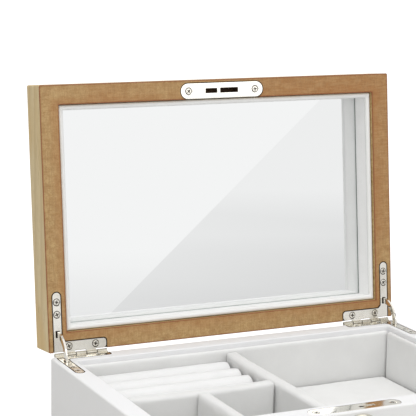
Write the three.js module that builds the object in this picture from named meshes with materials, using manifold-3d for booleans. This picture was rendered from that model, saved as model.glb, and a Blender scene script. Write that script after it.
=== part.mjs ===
// Jewelry box with a hinged mirror lid, quadrant stay hinges and a hook lock.
// Units are millimetres, +Z is up, +X is to the right and -Y is the front.
// The origin is the centre of the face that the box rests on. The lid stands open.
import * as THREE from 'three';
import { mergeVertices } from 'three/addons/utils/BufferGeometryUtils.js';
import Module from 'manifold-3d';

const wasm = await Module();
wasm.setup();

// ---------------------------------------------------------------- driving dimensions

// Box body
const BOX_WIDTH = 280;
const BOX_DEPTH = 187;
const BASE_HEIGHT = 50;
const SIDE_WALL = 14;
const BACK_WALL = 14;
const FRONT_WALL = 17.5;
const BOTTOM_THICKNESS = 8;

// Lid
const LID_HEIGHT = 26;
const LID_RAIL = 14;
const LID_PANEL_THICKNESS = 2.4;
const MIRROR_THICKNESS = 2;
const LID_GAP = 0.6;
const LID_OPEN_ANGLE = 96;

// Linings and tray furniture
const LINING_THICKNESS = 4;
const BASE_LINING_DROP = 2.5;
const LID_LINING_DROP = 2;
const DIVIDER_THICKNESS = 10;
const DIVIDER_DROP = 4.5;
const DIVIDER_LONG_X = -8.5;
const DIVIDER_CROSS_Y = 0;
const DIVIDER_SHORT_X = -69;
const FLOOR_PAD_THICKNESS = 5;
const RING_ROLL_COUNT = 4;
const RING_ROLL_DROP = 8.8;
const RING_ROLL_END_GAP = 1.5;

// Hinges: an L-shaped leaf in each wall top and lid rim, five knuckles and a fixed pin
const HINGE_AXIS_BACK = 1.9;
const KNUCKLE_RADIUS = 1.5;
const KNUCKLE_COUNT = 5;
const KNUCKLE_GAP = 0.3;
const PIN_RADIUS = 0.75;
const LEAF_THICKNESS = 1.2;
const LEAF_SIDE_MARGIN = 4;
const LEAF_BACK_MARGIN = 0.6;
const LEAF_SIDE_WIDTH = 5.8;
const LEAF_BACK_WIDTH = 6.6;
const LEAF_SIDE_LENGTH = 42.4;
const LEAF_BACK_LENGTH = 39;
const LEAF_INNER_CHAMFER = 2;
const LEAF_SCREWS_ALONG_SIDE = [26.9, 35.6];
const LEAF_SCREWS_ALONG_BACK = [11, 31];

// Quadrant stays: flat arcs about the hinge axis that slide in wall and lid slots
const STAY_INNER_RADIUS = 12.9;
const STAY_WIDTH = 4;
const STAY_THICKNESS = 1.6;
const STAY_TUCK_ANGLE = 12;
const STAY_CLEARANCE = 0.5;
const STAY_LID_SHARE = 0.5;

// Countersunk screws
const SCREW_HEAD_RADIUS = 2.1;
const SCREW_HEAD_HEIGHT = 1.1;
const SCREW_SHANK_RADIUS = 1;
const SCREW_LENGTH = 7;

// Lock
const LOCK_LINE = 8;
const LOCK_PLATE_LENGTH = 67;
const LOCK_PLATE_WIDTH = 10.8;
const LOCK_PLATE_THICKNESS = 1.2;
const LOCK_SCREW_INSET = 5.5;
const LOCK_CASE_WIDTH = 48;
const LOCK_CASE_THICKNESS = 9;
const LOCK_CASE_HEIGHT = 27;
const HOOK_PIVOT_X = -1.5;
const HOOK_PIVOT_DROP = 10;
const HOOK_INNER_RADIUS = 12.6;
const HOOK_OUTER_RADIUS = 17.6;
const HOOK_HUB_RADIUS = 3.6;
const HOOK_PIN_RADIUS = 1.5;
const HOOK_THICKNESS = 1.8;
const HOOK_TAIL_ANGLES = [-35, -12];
const HOOK_SINK = 0.4;
const HOOK_SLOT_CLEARANCE = 0.4;
const ESCUTCHEON_RADIUS = 15;
const ESCUTCHEON_THICKNESS = 2;
const ESCUTCHEON_DROP = 1.9;
const CYLINDER_RADIUS = 4;
const CYLINDER_CLEARANCE = 0.3;
const KEYWAY_WIDTH = 1.2;
const KEYWAY_HEIGHT = 5;
const KEYWAY_DEPTH = 5;

// Strike plate in the lid, with two slots and the bridge that the hook grips
const STRIKE_LENGTH = 66;
const STRIKE_WIDTH = 11.3;
const STRIKE_THICKNESS = 1.2;
const STRIKE_SCREW_INSET = 6.3;
const STRIKE_SLOT_HEIGHT = 3.4;
const STRIKE_BRIDGE_WIDTH = 2.6;
const STRIKE_SLOT_LEFT = 9.1;
const STRIKE_SLOT_RIGHT = 14.2;

// Clearances
const FIT_GAP = 0.3;
const SOFT_GAP = 0.2;
const ROUND_SIDES = 10;

// ---------------------------------------------------------------- derived places

const HALF_WIDTH = BOX_WIDTH / 2;
const HALF_DEPTH = BOX_DEPTH / 2;
const INNER_X = HALF_WIDTH - SIDE_WALL;
const INNER_BACK = HALF_DEPTH - BACK_WALL;
const INNER_FRONT = -HALF_DEPTH + FRONT_WALL;
const LINING_TOP = BASE_HEIGHT - BASE_LINING_DROP;
const TRAY_X = INNER_X - LINING_THICKNESS;
const TRAY_BACK = INNER_BACK - LINING_THICKNESS;
const TRAY_FRONT = INNER_FRONT + LINING_THICKNESS;
const FLOOR_TOP = BOTTOM_THICKNESS + FLOOR_PAD_THICKNESS;
const DIVIDER_TOP = BASE_HEIGHT - DIVIDER_DROP;
const HINGE_Y = HALF_DEPTH + HINGE_AXIS_BACK;
const HINGE_Z = BASE_HEIGHT + LID_GAP / 2;
const LEAF_ARM_X = HALF_WIDTH - LEAF_SIDE_MARGIN - LEAF_SIDE_WIDTH / 2;
const LOCK_Y = -HALF_DEPTH + LOCK_LINE;
const CYLINDER_Z = BASE_HEIGHT - ESCUTCHEON_DROP - ESCUTCHEON_RADIUS;
const CASE_FRONT = LOCK_Y - LOCK_CASE_THICKNESS / 2;
const CASE_TOP = BASE_HEIGHT - LOCK_PLATE_THICKNESS;

// ---------------------------------------------------------------- geometry helpers

// A block between two values on each axis.
function block(x0, x1, y0, y1, z0, z1) {
  const geometry = new THREE.BoxGeometry(x1 - x0, y1 - y0, z1 - z0);
  return geometry.translate((x0 + x1) / 2, (y0 + y1) / 2, (z0 + z1) / 2);
}

// A round bar that starts at the origin and runs along the named axis.
function bar(radius, length, axis, sides = ROUND_SIDES) {
  const geometry = new THREE.CylinderGeometry(radius, radius, length, sides);
  geometry.translate(0, length / 2, 0);
  if (axis === 'x') {
    geometry.rotateZ(-Math.PI / 2);
  }
  if (axis === 'z') {
    geometry.rotateX(Math.PI / 2);
  }
  return geometry;
}

// A flat plate of the given outline, from z0 up to z1.
function plate(shape, z0, z1) {
  const options = { depth: z1 - z0, bevelEnabled: false, curveSegments: 8 };
  return new THREE.ExtrudeGeometry(shape, options).translate(0, 0, z0);
}

// A flat plate of an outline drawn in the Y-Z plane, from x0 to x1.
function sidePlate(shape, x0, x1) {
  const geometry = plate(shape, x0, x1);
  const turn = new THREE.Matrix4().makeBasis(
    new THREE.Vector3(0, 1, 0),
    new THREE.Vector3(0, 0, 1),
    new THREE.Vector3(1, 0, 0),
  );
  return geometry.applyMatrix4(turn);
}

// A flat plate of an outline drawn in the X-Z plane, from y0 to y1.
function frontPlate(shape, y0, y1) {
  return plate(shape, -y1, -y0).rotateX(Math.PI / 2);
}

function toSolid(geometry) {
  const bare = geometry.clone();
  bare.deleteAttribute('normal');
  bare.deleteAttribute('uv');
  const merged = mergeVertices(bare, 1e-4);
  return new wasm.Manifold(new wasm.Mesh({
    numProp: 3,
    vertProperties: Float32Array.from(merged.attributes.position.array),
    triVerts: Uint32Array.from(merged.index.array),
  }));
}

function toGeometry(solid) {
  const mesh = solid.getMesh();
  const geometry = new THREE.BufferGeometry();
  geometry.setAttribute('position', new THREE.BufferAttribute(mesh.vertProperties, 3));
  geometry.setIndex(new THREE.BufferAttribute(mesh.triVerts, 1));
  geometry.computeVertexNormals();
  return geometry;
}

// The first geometry joined with all the others.
function join(first, ...others) {
  return toGeometry(others.reduce((sum, other) => sum.add(toSolid(other)), toSolid(first)));
}

// The first geometry with all the others taken away.
function cut(first, ...tools) {
  return toGeometry(tools.reduce((rest, tool) => rest.subtract(toSolid(tool)), toSolid(first)));
}

// A copy of the geometry on the other side of the box's middle plane.
function mirrored(geometry) {
  const copy = geometry.clone().scale(-1, 1, 1);
  const index = copy.index ? copy.index.array.slice() : null;
  if (index) {
    for (let i = 0; i < index.length; i += 3) {
      [index[i + 1], index[i + 2]] = [index[i + 2], index[i + 1]];
    }
    copy.setIndex(new THREE.BufferAttribute(index, 1));
    return copy;
  }
  const place = copy.attributes.position;
  for (let i = 0; i < place.count; i += 3) {
    const second = new THREE.Vector3().fromBufferAttribute(place, i + 1);
    const third = new THREE.Vector3().fromBufferAttribute(place, i + 2);
    place.setXYZ(i + 1, third.x, third.y, third.z);
    place.setXYZ(i + 2, second.x, second.y, second.z);
  }
  return copy;
}

// The same geometry for the right side, or its mirror image for the left side.
function onSide(geometry, side) {
  return side > 0 ? geometry : mirrored(geometry);
}

// ---------------------------------------------------------------- finishes

const finishes = {
  lacquer: { color: 0xf1f1ef, roughness: 0.25, metalness: 0 },
  oak: { color: 0xb6a67c, roughness: 0.55, metalness: 0 },
  rim: { color: 0xa08058, roughness: 0.6, metalness: 0 },
  velvet: { color: 0xe2e1de, roughness: 0.95, metalness: 0 },
  roll: { color: 0xecebe9, roughness: 0.9, metalness: 0 },
  nickel: { color: 0xc8c4b4, roughness: 0.3, metalness: 1 },
  steel: { color: 0x9a968c, roughness: 0.35, metalness: 1 },
  mirror: { color: 0xe6e9ea, roughness: 0.02, metalness: 1 },
  bottom: { color: 0xcbb489, roughness: 0.7, metalness: 0 },
};

const box = new THREE.Group();
box.name = 'jewelry_box';

function addPart(parent, name, geometry, finish) {
  const mesh = new THREE.Mesh(geometry, new THREE.MeshStandardMaterial(finishes[finish]));
  mesh.name = name;
  parent.add(mesh);
  return mesh;
}

// ---------------------------------------------------------------- shared small parts

// A countersunk wood screw, its head's face at z = 0 and its shank downwards.
function screw() {
  const profile = [
    new THREE.Vector2(0, -SCREW_LENGTH),
    new THREE.Vector2(SCREW_SHANK_RADIUS, -SCREW_LENGTH + SCREW_SHANK_RADIUS),
    new THREE.Vector2(SCREW_SHANK_RADIUS, -SCREW_HEAD_HEIGHT),
    new THREE.Vector2(SCREW_HEAD_RADIUS, -SCREW_HEAD_HEIGHT / 4),
    new THREE.Vector2(SCREW_HEAD_RADIUS, 0),
    new THREE.Vector2(0, 0),
  ];
  return new THREE.LatheGeometry(profile, ROUND_SIDES).rotateX(Math.PI / 2);
}

// The space that a screw needs, through its plate and into the wood.
function screwSpace() {
  const wide = SCREW_HEAD_RADIUS + FIT_GAP;
  const narrow = SCREW_SHANK_RADIUS + FIT_GAP;
  const profile = [
    new THREE.Vector2(0, -SCREW_LENGTH - FIT_GAP),
    new THREE.Vector2(narrow, -SCREW_LENGTH - FIT_GAP),
    new THREE.Vector2(narrow, -SCREW_HEAD_HEIGHT - FIT_GAP),
    new THREE.Vector2(wide, -SCREW_HEAD_HEIGHT / 4 - FIT_GAP),
    new THREE.Vector2(wide, 1),
    new THREE.Vector2(0, 1),
  ];
  return new THREE.LatheGeometry(profile, ROUND_SIDES).rotateX(Math.PI / 2);
}

// A plate outline with full round ends, centred on (0, y).
function roundEnded(length, width, y, grow = 0) {
  const r = width / 2 + grow;
  const half = length / 2 - width / 2;
  const shape = new THREE.Shape();
  shape.moveTo(-half, y - r);
  shape.lineTo(half, y - r);
  shape.absarc(half, y, r, -Math.PI / 2, Math.PI / 2, false);
  shape.lineTo(-half, y + r);
  shape.absarc(-half, y, r, Math.PI / 2, Math.PI * 1.5, false);
  return shape;
}

// ---------------------------------------------------------------- hinge leaves

// The L-shaped leaf outline of the right side. The origin is the hinge axis and -Y is the
// front. The outline grows by the given margin for the recess that holds it.
function leafOutline(grow = 0) {
  const outer = HALF_WIDTH - LEAF_SIDE_MARGIN + grow;
  const inner = outer - LEAF_SIDE_WIDTH - 2 * grow;
  const end = HALF_WIDTH - LEAF_SIDE_MARGIN - LEAF_BACK_LENGTH - grow;
  const rear = -HINGE_AXIS_BACK - LEAF_BACK_MARGIN + grow;
  const front = rear - LEAF_BACK_WIDTH - 2 * grow;
  const radius = (outer - inner) / 2;
  const tip = -HINGE_AXIS_BACK - LEAF_SIDE_LENGTH - grow + radius;
  const corner = (rear - front) / 3;
  const shape = new THREE.Shape();
  shape.moveTo(outer, rear);
  shape.lineTo(end + corner, rear);
  shape.absarc(end + corner, rear - corner, corner, Math.PI / 2, Math.PI, false);
  shape.lineTo(end, front + corner);
  shape.absarc(end + corner, front + corner, corner, Math.PI, Math.PI * 1.5, false);
  shape.lineTo(inner - LEAF_INNER_CHAMFER, front);
  shape.lineTo(inner, front - LEAF_INNER_CHAMFER);
  shape.lineTo(inner, tip);
  shape.absarc(inner + radius, tip, radius, Math.PI, Math.PI * 2, false);
  return shape;
}

// Screw places on the right leaf, measured from the hinge axis.
function leafScrewPlaces() {
  const sideX = LEAF_ARM_X;
  const backY = -HINGE_AXIS_BACK - LEAF_BACK_MARGIN - LEAF_BACK_WIDTH / 2;
  const outer = HALF_WIDTH - LEAF_SIDE_MARGIN;
  return [
    ...LEAF_SCREWS_ALONG_SIDE.map((along) => [sideX, -HINGE_AXIS_BACK - along]),
    ...LEAF_SCREWS_ALONG_BACK.map((along) => [outer - along, backY]),
  ];
}

// The slot that the stay slides through, a block about the hinge axis's frame.
function stayPassage(z0, z1, halfWidth) {
  const near = -STAY_INNER_RADIUS + STAY_CLEARANCE;
  const far = -STAY_INNER_RADIUS - STAY_WIDTH - STAY_CLEARANCE;
  return block(LEAF_ARM_X - halfWidth, LEAF_ARM_X + halfWidth, far, near, z0, z1);
}

// One right-hand leaf lying under the closed joint line, its knuckles on the hinge axis.
// Odd knuckles carry the pin and belong to the base leaf, even ones to the lid leaf.
function leaf(ownsPin) {
  const top = -LID_GAP / 2;
  const start = HALF_WIDTH - LEAF_SIDE_MARGIN - LEAF_BACK_LENGTH;
  const pitch = (LEAF_BACK_LENGTH + KNUCKLE_GAP) / KNUCKLE_COUNT;
  const length = pitch - KNUCKLE_GAP;
  const neckFront = -HINGE_AXIS_BACK - LEAF_BACK_MARGIN - 1;
  const pieces = [];
  for (let i = ownsPin ? 0 : 1; i < KNUCKLE_COUNT; i += 2) {
    const x = start + i * pitch;
    pieces.push(bar(KNUCKLE_RADIUS, length, 'x').translate(x, 0, 0));
    pieces.push(block(x, x + length, neckFront, 0, top - LEAF_THICKNESS, top));
  }
  const holes = [stayPassage(-10, 10, STAY_THICKNESS / 2 + 3 * STAY_CLEARANCE / 2)];
  for (const [x, y] of leafScrewPlaces()) {
    holes.push(screwSpace().translate(x, y, top));
  }
  const body = join(plate(leafOutline(), top - LEAF_THICKNESS, top), ...pieces);
  const drilled = cut(body, ...holes);
  if (ownsPin) {
    return join(drilled, bar(PIN_RADIUS, LEAF_BACK_LENGTH, 'x').translate(start, 0, 0));
  }
  const bore = bar(PIN_RADIUS + FIT_GAP, LEAF_BACK_LENGTH + 2, 'x').translate(start - 1, 0, 0);
  return cut(drilled, bore);
}

// All the wood taken away for one right-hand leaf, its screws and its stay.
function leafSpaces() {
  const top = -LID_GAP / 2;
  const depth = top - LEAF_THICKNESS - FIT_GAP;
  const outer = HALF_WIDTH - LEAF_SIDE_MARGIN;
  const stayDepth = (STAY_INNER_RADIUS + STAY_WIDTH) * Math.sin(stayReach()) + 2;
  const spaces = [
    plate(leafOutline(FIT_GAP), depth, 1),
    block(outer - LEAF_BACK_LENGTH - FIT_GAP, outer + FIT_GAP,
      -HINGE_AXIS_BACK - LEAF_BACK_MARGIN - 1, 1, depth, 1),
    stayPocket(-stayDepth),
  ];
  for (const [x, y] of leafScrewPlaces()) {
    spaces.push(screwSpace().translate(x, y, top));
  }
  return spaces;
}

// The largest angle that a stay dips below the joint line, with the lid closed.
function stayReach() {
  const closedDip = LID_OPEN_ANGLE * STAY_LID_SHARE + STAY_TUCK_ANGLE;
  return THREE.MathUtils.degToRad(Math.min(closedDip + 2, 90));
}

// The mortise that a stay slides into, in the frame of the hinge axis.
function stayPocket(bottom) {
  const half = STAY_THICKNESS / 2 + STAY_CLEARANCE;
  const far = -STAY_INNER_RADIUS - STAY_WIDTH - STAY_CLEARANCE;
  const near = -STAY_INNER_RADIUS * Math.cos(stayReach()) + STAY_CLEARANCE;
  return block(LEAF_ARM_X - half, LEAF_ARM_X + half, far, near, bottom, 1);
}

// A flat arc about the hinge axis, from inside the wall to inside the lid.
function stay() {
  const from = Math.PI + THREE.MathUtils.degToRad(STAY_TUCK_ANGLE);
  const to = Math.PI - THREE.MathUtils.degToRad(LID_OPEN_ANGLE + STAY_TUCK_ANGLE);
  const outer = STAY_INNER_RADIUS + STAY_WIDTH;
  const shape = new THREE.Shape();
  shape.absarc(0, 0, outer, from, to, true);
  shape.absarc(0, 0, STAY_INNER_RADIUS, to, from, false);
  const options = { depth: STAY_THICKNESS, bevelEnabled: false, curveSegments: 16 };
  const turn = new THREE.Matrix4().makeBasis(
    new THREE.Vector3(0, 1, 0),
    new THREE.Vector3(0, 0, 1),
    new THREE.Vector3(1, 0, 0),
  );
  const arc = new THREE.ExtrudeGeometry(shape, options).applyMatrix4(turn);
  return arc.translate(LEAF_ARM_X - STAY_THICKNESS / 2, 0, 0);
}

// Moves a geometry from the hinge axis's frame to the box's frame.
function atHinge(geometry) {
  return geometry.translate(0, HINGE_Y, HINGE_Z);
}

// ---------------------------------------------------------------- base carcass

function sideBoard(side) {
  const board = block(INNER_X, HALF_WIDTH, -HALF_DEPTH, HALF_DEPTH, 0, BASE_HEIGHT);
  return onSide(cut(board, ...leafSpaces().map(atHinge)), side);
}

function backBoard() {
  const board = block(-INNER_X, INNER_X, INNER_BACK, HALF_DEPTH, 0, BASE_HEIGHT);
  const right = leafSpaces().map(atHinge);
  return cut(board, ...right, ...right.map(mirrored));
}

function frontBoard() {
  const board = block(-INNER_X, INNER_X, -HALF_DEPTH, INNER_FRONT, 0, BASE_HEIGHT);
  const caseHalf = LOCK_CASE_WIDTH / 2 + FIT_GAP;
  const caseSpace = block(
    -caseHalf, caseHalf,
    CASE_FRONT - FIT_GAP, CASE_FRONT + LOCK_CASE_THICKNESS + FIT_GAP,
    CASE_TOP - LOCK_CASE_HEIGHT - FIT_GAP, BASE_HEIGHT + 1,
  );
  const plateSpace = plate(
    roundEnded(LOCK_PLATE_LENGTH, LOCK_PLATE_WIDTH, LOCK_Y, FIT_GAP),
    CASE_TOP, BASE_HEIGHT + 1,
  );
  const bore = bar(CYLINDER_RADIUS + CYLINDER_CLEARANCE, LOCK_LINE + 1, 'y', 2 * ROUND_SIDES);
  bore.translate(0, -HALF_DEPTH - 1, CYLINDER_Z);
  return cut(board, caseSpace, plateSpace, bore, ...lockScrewPlaces().map(
    (x) => screwSpace().translate(x, LOCK_Y, BASE_HEIGHT),
  ));
}

addPart(box, 'side_board_left', sideBoard(-1), 'lacquer');
addPart(box, 'side_board_right', sideBoard(1), 'lacquer');
addPart(box, 'back_board', backBoard(), 'lacquer');
addPart(box, 'front_board', frontBoard(), 'lacquer');
addPart(box, 'bottom_panel',
  block(-INNER_X, INNER_X, INNER_FRONT, INNER_BACK, 0, BOTTOM_THICKNESS), 'bottom');

// ---------------------------------------------------------------- tray linings

const liningBottom = BOTTOM_THICKNESS;
addPart(box, 'lining_back',
  block(-INNER_X, INNER_X, TRAY_BACK, INNER_BACK, liningBottom, LINING_TOP), 'velvet');
addPart(box, 'lining_front',
  block(-INNER_X, INNER_X, INNER_FRONT, TRAY_FRONT, liningBottom, LINING_TOP), 'velvet');
for (const [name, side] of [['lining_left', -1], ['lining_right', 1]]) {
  const lining = block(TRAY_X, INNER_X, TRAY_FRONT + SOFT_GAP, TRAY_BACK - SOFT_GAP,
    liningBottom, LINING_TOP);
  addPart(box, name, onSide(lining, side), 'velvet');
}

// ---------------------------------------------------------------- dividers and pads

// The upright section of a padded divider: straight sides and a rounded top.
function dividerSection() {
  const half = DIVIDER_THICKNESS / 2 - SOFT_GAP;
  const shoulder = DIVIDER_TOP - half * 0.8;
  const shape = new THREE.Shape();
  shape.moveTo(-half, BOTTOM_THICKNESS);
  shape.lineTo(half, BOTTOM_THICKNESS);
  shape.lineTo(half, shoulder);
  shape.absellipse(0, shoulder, half, DIVIDER_TOP - shoulder, 0, Math.PI, false, 0);
  return shape;
}

const longLeft = DIVIDER_LONG_X - DIVIDER_THICKNESS / 2;
const longRight = DIVIDER_LONG_X + DIVIDER_THICKNESS / 2;
const crossFront = DIVIDER_CROSS_Y - DIVIDER_THICKNESS / 2;
const crossBack = DIVIDER_CROSS_Y + DIVIDER_THICKNESS / 2;
const shortLeft = DIVIDER_SHORT_X - DIVIDER_THICKNESS / 2;
const shortRight = DIVIDER_SHORT_X + DIVIDER_THICKNESS / 2;

addPart(box, 'divider_long',
  frontPlate(dividerSection(), TRAY_FRONT + SOFT_GAP, TRAY_BACK - SOFT_GAP)
    .translate(DIVIDER_LONG_X, 0, 0), 'velvet');
addPart(box, 'divider_short',
  frontPlate(dividerSection(), TRAY_FRONT + SOFT_GAP, crossFront - SOFT_GAP)
    .translate(DIVIDER_SHORT_X, 0, 0), 'velvet');
addPart(box, 'divider_cross',
  sidePlate(dividerSection(), -TRAY_X + SOFT_GAP, longLeft - SOFT_GAP)
    .translate(0, DIVIDER_CROSS_Y, 0), 'velvet');

// A floor pad that fills the floor between four faces.
function floorPad(x0, x1, y0, y1) {
  return block(x0 + SOFT_GAP, x1 - SOFT_GAP, y0 + SOFT_GAP, y1 - SOFT_GAP,
    BOTTOM_THICKNESS, FLOOR_TOP);
}

addPart(box, 'floor_pad_small', floorPad(-TRAY_X, shortLeft, TRAY_FRONT, crossFront), 'velvet');
addPart(box, 'floor_pad_middle', floorPad(shortRight, longLeft, TRAY_FRONT, crossFront), 'velvet');
addPart(box, 'floor_pad_large', floorPad(longRight, TRAY_X, TRAY_FRONT, TRAY_BACK), 'velvet');

// Ring rolls lie side by side on their bed and hold rings between them.
const rollPitch = (TRAY_BACK - crossBack) / RING_ROLL_COUNT;
const rollRadius = rollPitch / 2 - SOFT_GAP;
const rollZ = BASE_HEIGHT - RING_ROLL_DROP - rollRadius;
const rollStart = -TRAY_X + RING_ROLL_END_GAP;
const rollLength = longLeft - RING_ROLL_END_GAP - rollStart;
for (let i = 0; i < RING_ROLL_COUNT; i += 1) {
  const roll = bar(rollRadius, rollLength, 'x', 16);
  roll.translate(rollStart, TRAY_BACK - (i + 0.5) * rollPitch, rollZ);
  addPart(box, `ring_roll_${i + 1}`, roll, 'roll');
}
addPart(box, 'ring_bed',
  block(-TRAY_X + SOFT_GAP, longLeft - SOFT_GAP, crossBack + SOFT_GAP, TRAY_BACK - SOFT_GAP,
    BOTTOM_THICKNESS, rollZ - rollRadius - SOFT_GAP), 'velvet');

// ---------------------------------------------------------------- lock

function lockScrewPlaces() {
  const x = LOCK_PLATE_LENGTH / 2 - LOCK_SCREW_INSET;
  return [-x, x];
}

const hookPivotZ = BASE_HEIGHT - HOOK_PIVOT_DROP;
const hookSlotHalf = HOOK_THICKNESS / 2 + HOOK_SLOT_CLEARANCE;

// The hook at rest below the plate: a claw about its pivot, cut level with the plate.
function lockHook() {
  const claw = new THREE.Shape();
  const tail = THREE.MathUtils.degToRad(HOOK_TAIL_ANGLES[0]);
  const neck = THREE.MathUtils.degToRad(HOOK_TAIL_ANGLES[1]);
  const level = HOOK_PIVOT_DROP - HOOK_SINK;
  const outerEnd = Math.asin(level / HOOK_OUTER_RADIUS);
  const innerEnd = Math.asin(level / HOOK_INNER_RADIUS);
  claw.absarc(0, 0, HOOK_OUTER_RADIUS, tail, outerEnd, false);
  claw.lineTo(HOOK_INNER_RADIUS * Math.cos(innerEnd), level);
  claw.absarc(0, 0, HOOK_INNER_RADIUS, innerEnd, neck, true);
  claw.lineTo(HOOK_HUB_RADIUS * Math.cos(neck), HOOK_HUB_RADIUS * Math.sin(neck));
  claw.lineTo(HOOK_HUB_RADIUS * Math.cos(tail), HOOK_HUB_RADIUS * Math.sin(tail));
  const y0 = LOCK_Y - HOOK_THICKNESS / 2;
  const y1 = LOCK_Y + HOOK_THICKNESS / 2;
  const hub = bar(HOOK_HUB_RADIUS, HOOK_THICKNESS, 'y', 2 * ROUND_SIDES).translate(0, y0, 0);
  const bore = bar(HOOK_PIN_RADIUS + FIT_GAP, HOOK_THICKNESS + 2, 'y').translate(0, y0 - 1, 0);
  const joined = join(frontPlate(claw, y0, y1), hub);
  return cut(joined, bore).translate(HOOK_PIVOT_X, 0, hookPivotZ);
}

// The case holds the hook's pin in an open-topped slot, and the cylinder in a bore.
function lockCase() {
  const half = LOCK_CASE_WIDTH / 2;
  const back = CASE_FRONT + LOCK_CASE_THICKNESS;
  const bottom = CASE_TOP - LOCK_CASE_HEIGHT;
  const body = block(-half, half, CASE_FRONT, back, bottom, CASE_TOP);
  const reach = HOOK_OUTER_RADIUS + HOOK_SLOT_CLEARANCE;
  const slot = block(
    HOOK_PIVOT_X - HOOK_HUB_RADIUS - 1, HOOK_PIVOT_X + reach,
    LOCK_Y - hookSlotHalf, LOCK_Y + hookSlotHalf,
    hookPivotZ - reach * Math.sin(THREE.MathUtils.degToRad(-HOOK_TAIL_ANGLES[0])) - 2,
    CASE_TOP + 1,
  );
  const boreDepth = LOCK_CASE_THICKNESS / 2 - hookSlotHalf - 0.6;
  const bore = bar(CYLINDER_RADIUS + CYLINDER_CLEARANCE, boreDepth + 1, 'y', 2 * ROUND_SIDES)
    .translate(0, CASE_FRONT - 1, CYLINDER_Z);
  const pin = bar(HOOK_PIN_RADIUS, 2 * hookSlotHalf + 1, 'y')
    .translate(HOOK_PIVOT_X, LOCK_Y - hookSlotHalf - 0.5, hookPivotZ);
  return join(cut(body, slot, bore), pin);
}

// The slot in the lock plate that lets the hook's whole sweep through.
function lockPlate() {
  const body = plate(roundEnded(LOCK_PLATE_LENGTH, LOCK_PLATE_WIDTH, LOCK_Y),
    CASE_TOP, BASE_HEIGHT);
  const from = HOOK_PIVOT_X + Math.sqrt(HOOK_INNER_RADIUS ** 2 - HOOK_PIVOT_DROP ** 2) - 3;
  const to = HOOK_PIVOT_X + Math.sqrt(
    HOOK_OUTER_RADIUS ** 2 - (HOOK_PIVOT_DROP - LOCK_PLATE_THICKNESS) ** 2,
  ) + HOOK_SLOT_CLEARANCE;
  const slot = block(from, to, LOCK_Y - hookSlotHalf, LOCK_Y + hookSlotHalf,
    CASE_TOP - 1, BASE_HEIGHT + 1);
  return cut(body, slot, ...lockScrewPlaces().map(
    (x) => screwSpace().translate(x, LOCK_Y, BASE_HEIGHT),
  ));
}

// A round plate with a raised rim and a hole for the cylinder.
function escutcheon() {
  const bore = CYLINDER_RADIUS + CYLINDER_CLEARANCE;
  const dish = ESCUTCHEON_THICKNESS * 0.5;
  const profile = [
    new THREE.Vector2(bore, 0),
    new THREE.Vector2(ESCUTCHEON_RADIUS, 0),
    new THREE.Vector2(ESCUTCHEON_RADIUS, dish),
    new THREE.Vector2(ESCUTCHEON_RADIUS - 1, ESCUTCHEON_THICKNESS),
    new THREE.Vector2(ESCUTCHEON_RADIUS - 2.5, ESCUTCHEON_THICKNESS),
    new THREE.Vector2(ESCUTCHEON_RADIUS - 3.5, dish),
    new THREE.Vector2(bore + 1.5, dish),
    new THREE.Vector2(bore, ESCUTCHEON_THICKNESS),
    new THREE.Vector2(bore, 0),
  ];
  const ring = new THREE.LatheGeometry(profile, 3 * ROUND_SIDES);
  return toGeometry(toSolid(ring.rotateX(Math.PI)))
    .translate(0, -HALF_DEPTH, CYLINDER_Z);
}

// The key cylinder, with an upright keyway in its front.
function lockCylinder() {
  const front = -HALF_DEPTH - ESCUTCHEON_THICKNESS * 0.9;
  const back = LOCK_Y - hookSlotHalf - 0.6 - FIT_GAP;
  const body = bar(CYLINDER_RADIUS, back - front, 'y', 2 * ROUND_SIDES).translate(0, front, 0);
  const keyway = block(-KEYWAY_WIDTH / 2, KEYWAY_WIDTH / 2, front - 1, front + KEYWAY_DEPTH,
    -KEYWAY_HEIGHT / 2, KEYWAY_HEIGHT / 2);
  return cut(body, keyway).translate(0, 0, CYLINDER_Z);
}

addPart(box, 'lock_case', lockCase(), 'steel');
addPart(box, 'lock_plate', lockPlate(), 'nickel');
addPart(box, 'lock_hook', lockHook(), 'steel');
addPart(box, 'escutcheon', escutcheon(), 'nickel');
addPart(box, 'lock_cylinder', lockCylinder(), 'nickel');
for (const [name, x] of [['screw_lock_left', lockScrewPlaces()[0]],
  ['screw_lock_right', lockScrewPlaces()[1]]]) {
  addPart(box, name, screw().translate(x, LOCK_Y, BASE_HEIGHT), 'steel');
}

// ---------------------------------------------------------------- lid

// Everything in this group is drawn with the lid closed, about the hinge axis, and the
// group then turns to the open angle.
const lid = new THREE.Group();
lid.position.set(0, HINGE_Y, HINGE_Z);
lid.rotation.x = -THREE.MathUtils.degToRad(LID_OPEN_ANGLE);
box.add(lid);

const lidBottom = LID_GAP / 2;
const lidTop = lidBottom + LID_HEIGHT;
const lidBack = -HINGE_AXIS_BACK;
const lidFront = lidBack - BOX_DEPTH;
const railInnerX = HALF_WIDTH - LID_RAIL;
const railInnerBack = lidBack - LID_RAIL;
const railInnerFront = lidFront + LID_RAIL;
const panelBottom = lidTop - LID_PANEL_THICKNESS;
const mirrorTop = panelBottom - FIT_GAP;
const mirrorBottom = mirrorTop - MIRROR_THICKNESS;
const strikeY = lidFront + LOCK_LINE;
const strikeScrewX = STRIKE_LENGTH / 2 - STRIKE_SCREW_INSET;

// The same spaces as in the walls, turned over to cut upwards into the lid's rim.
function lidLeafSpaces() {
  return leafSpaces().map(turnedOver);
}

// A geometry reflected in the joint plane, from the wall side to the lid side.
function turnedOver(geometry) {
  return mirrored(geometry.clone().rotateY(Math.PI));
}

function lidSideRail(side) {
  const rail = block(railInnerX, HALF_WIDTH, lidFront, lidBack, lidBottom, lidTop);
  return onSide(cut(rail, ...lidLeafSpaces()), side);
}

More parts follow.
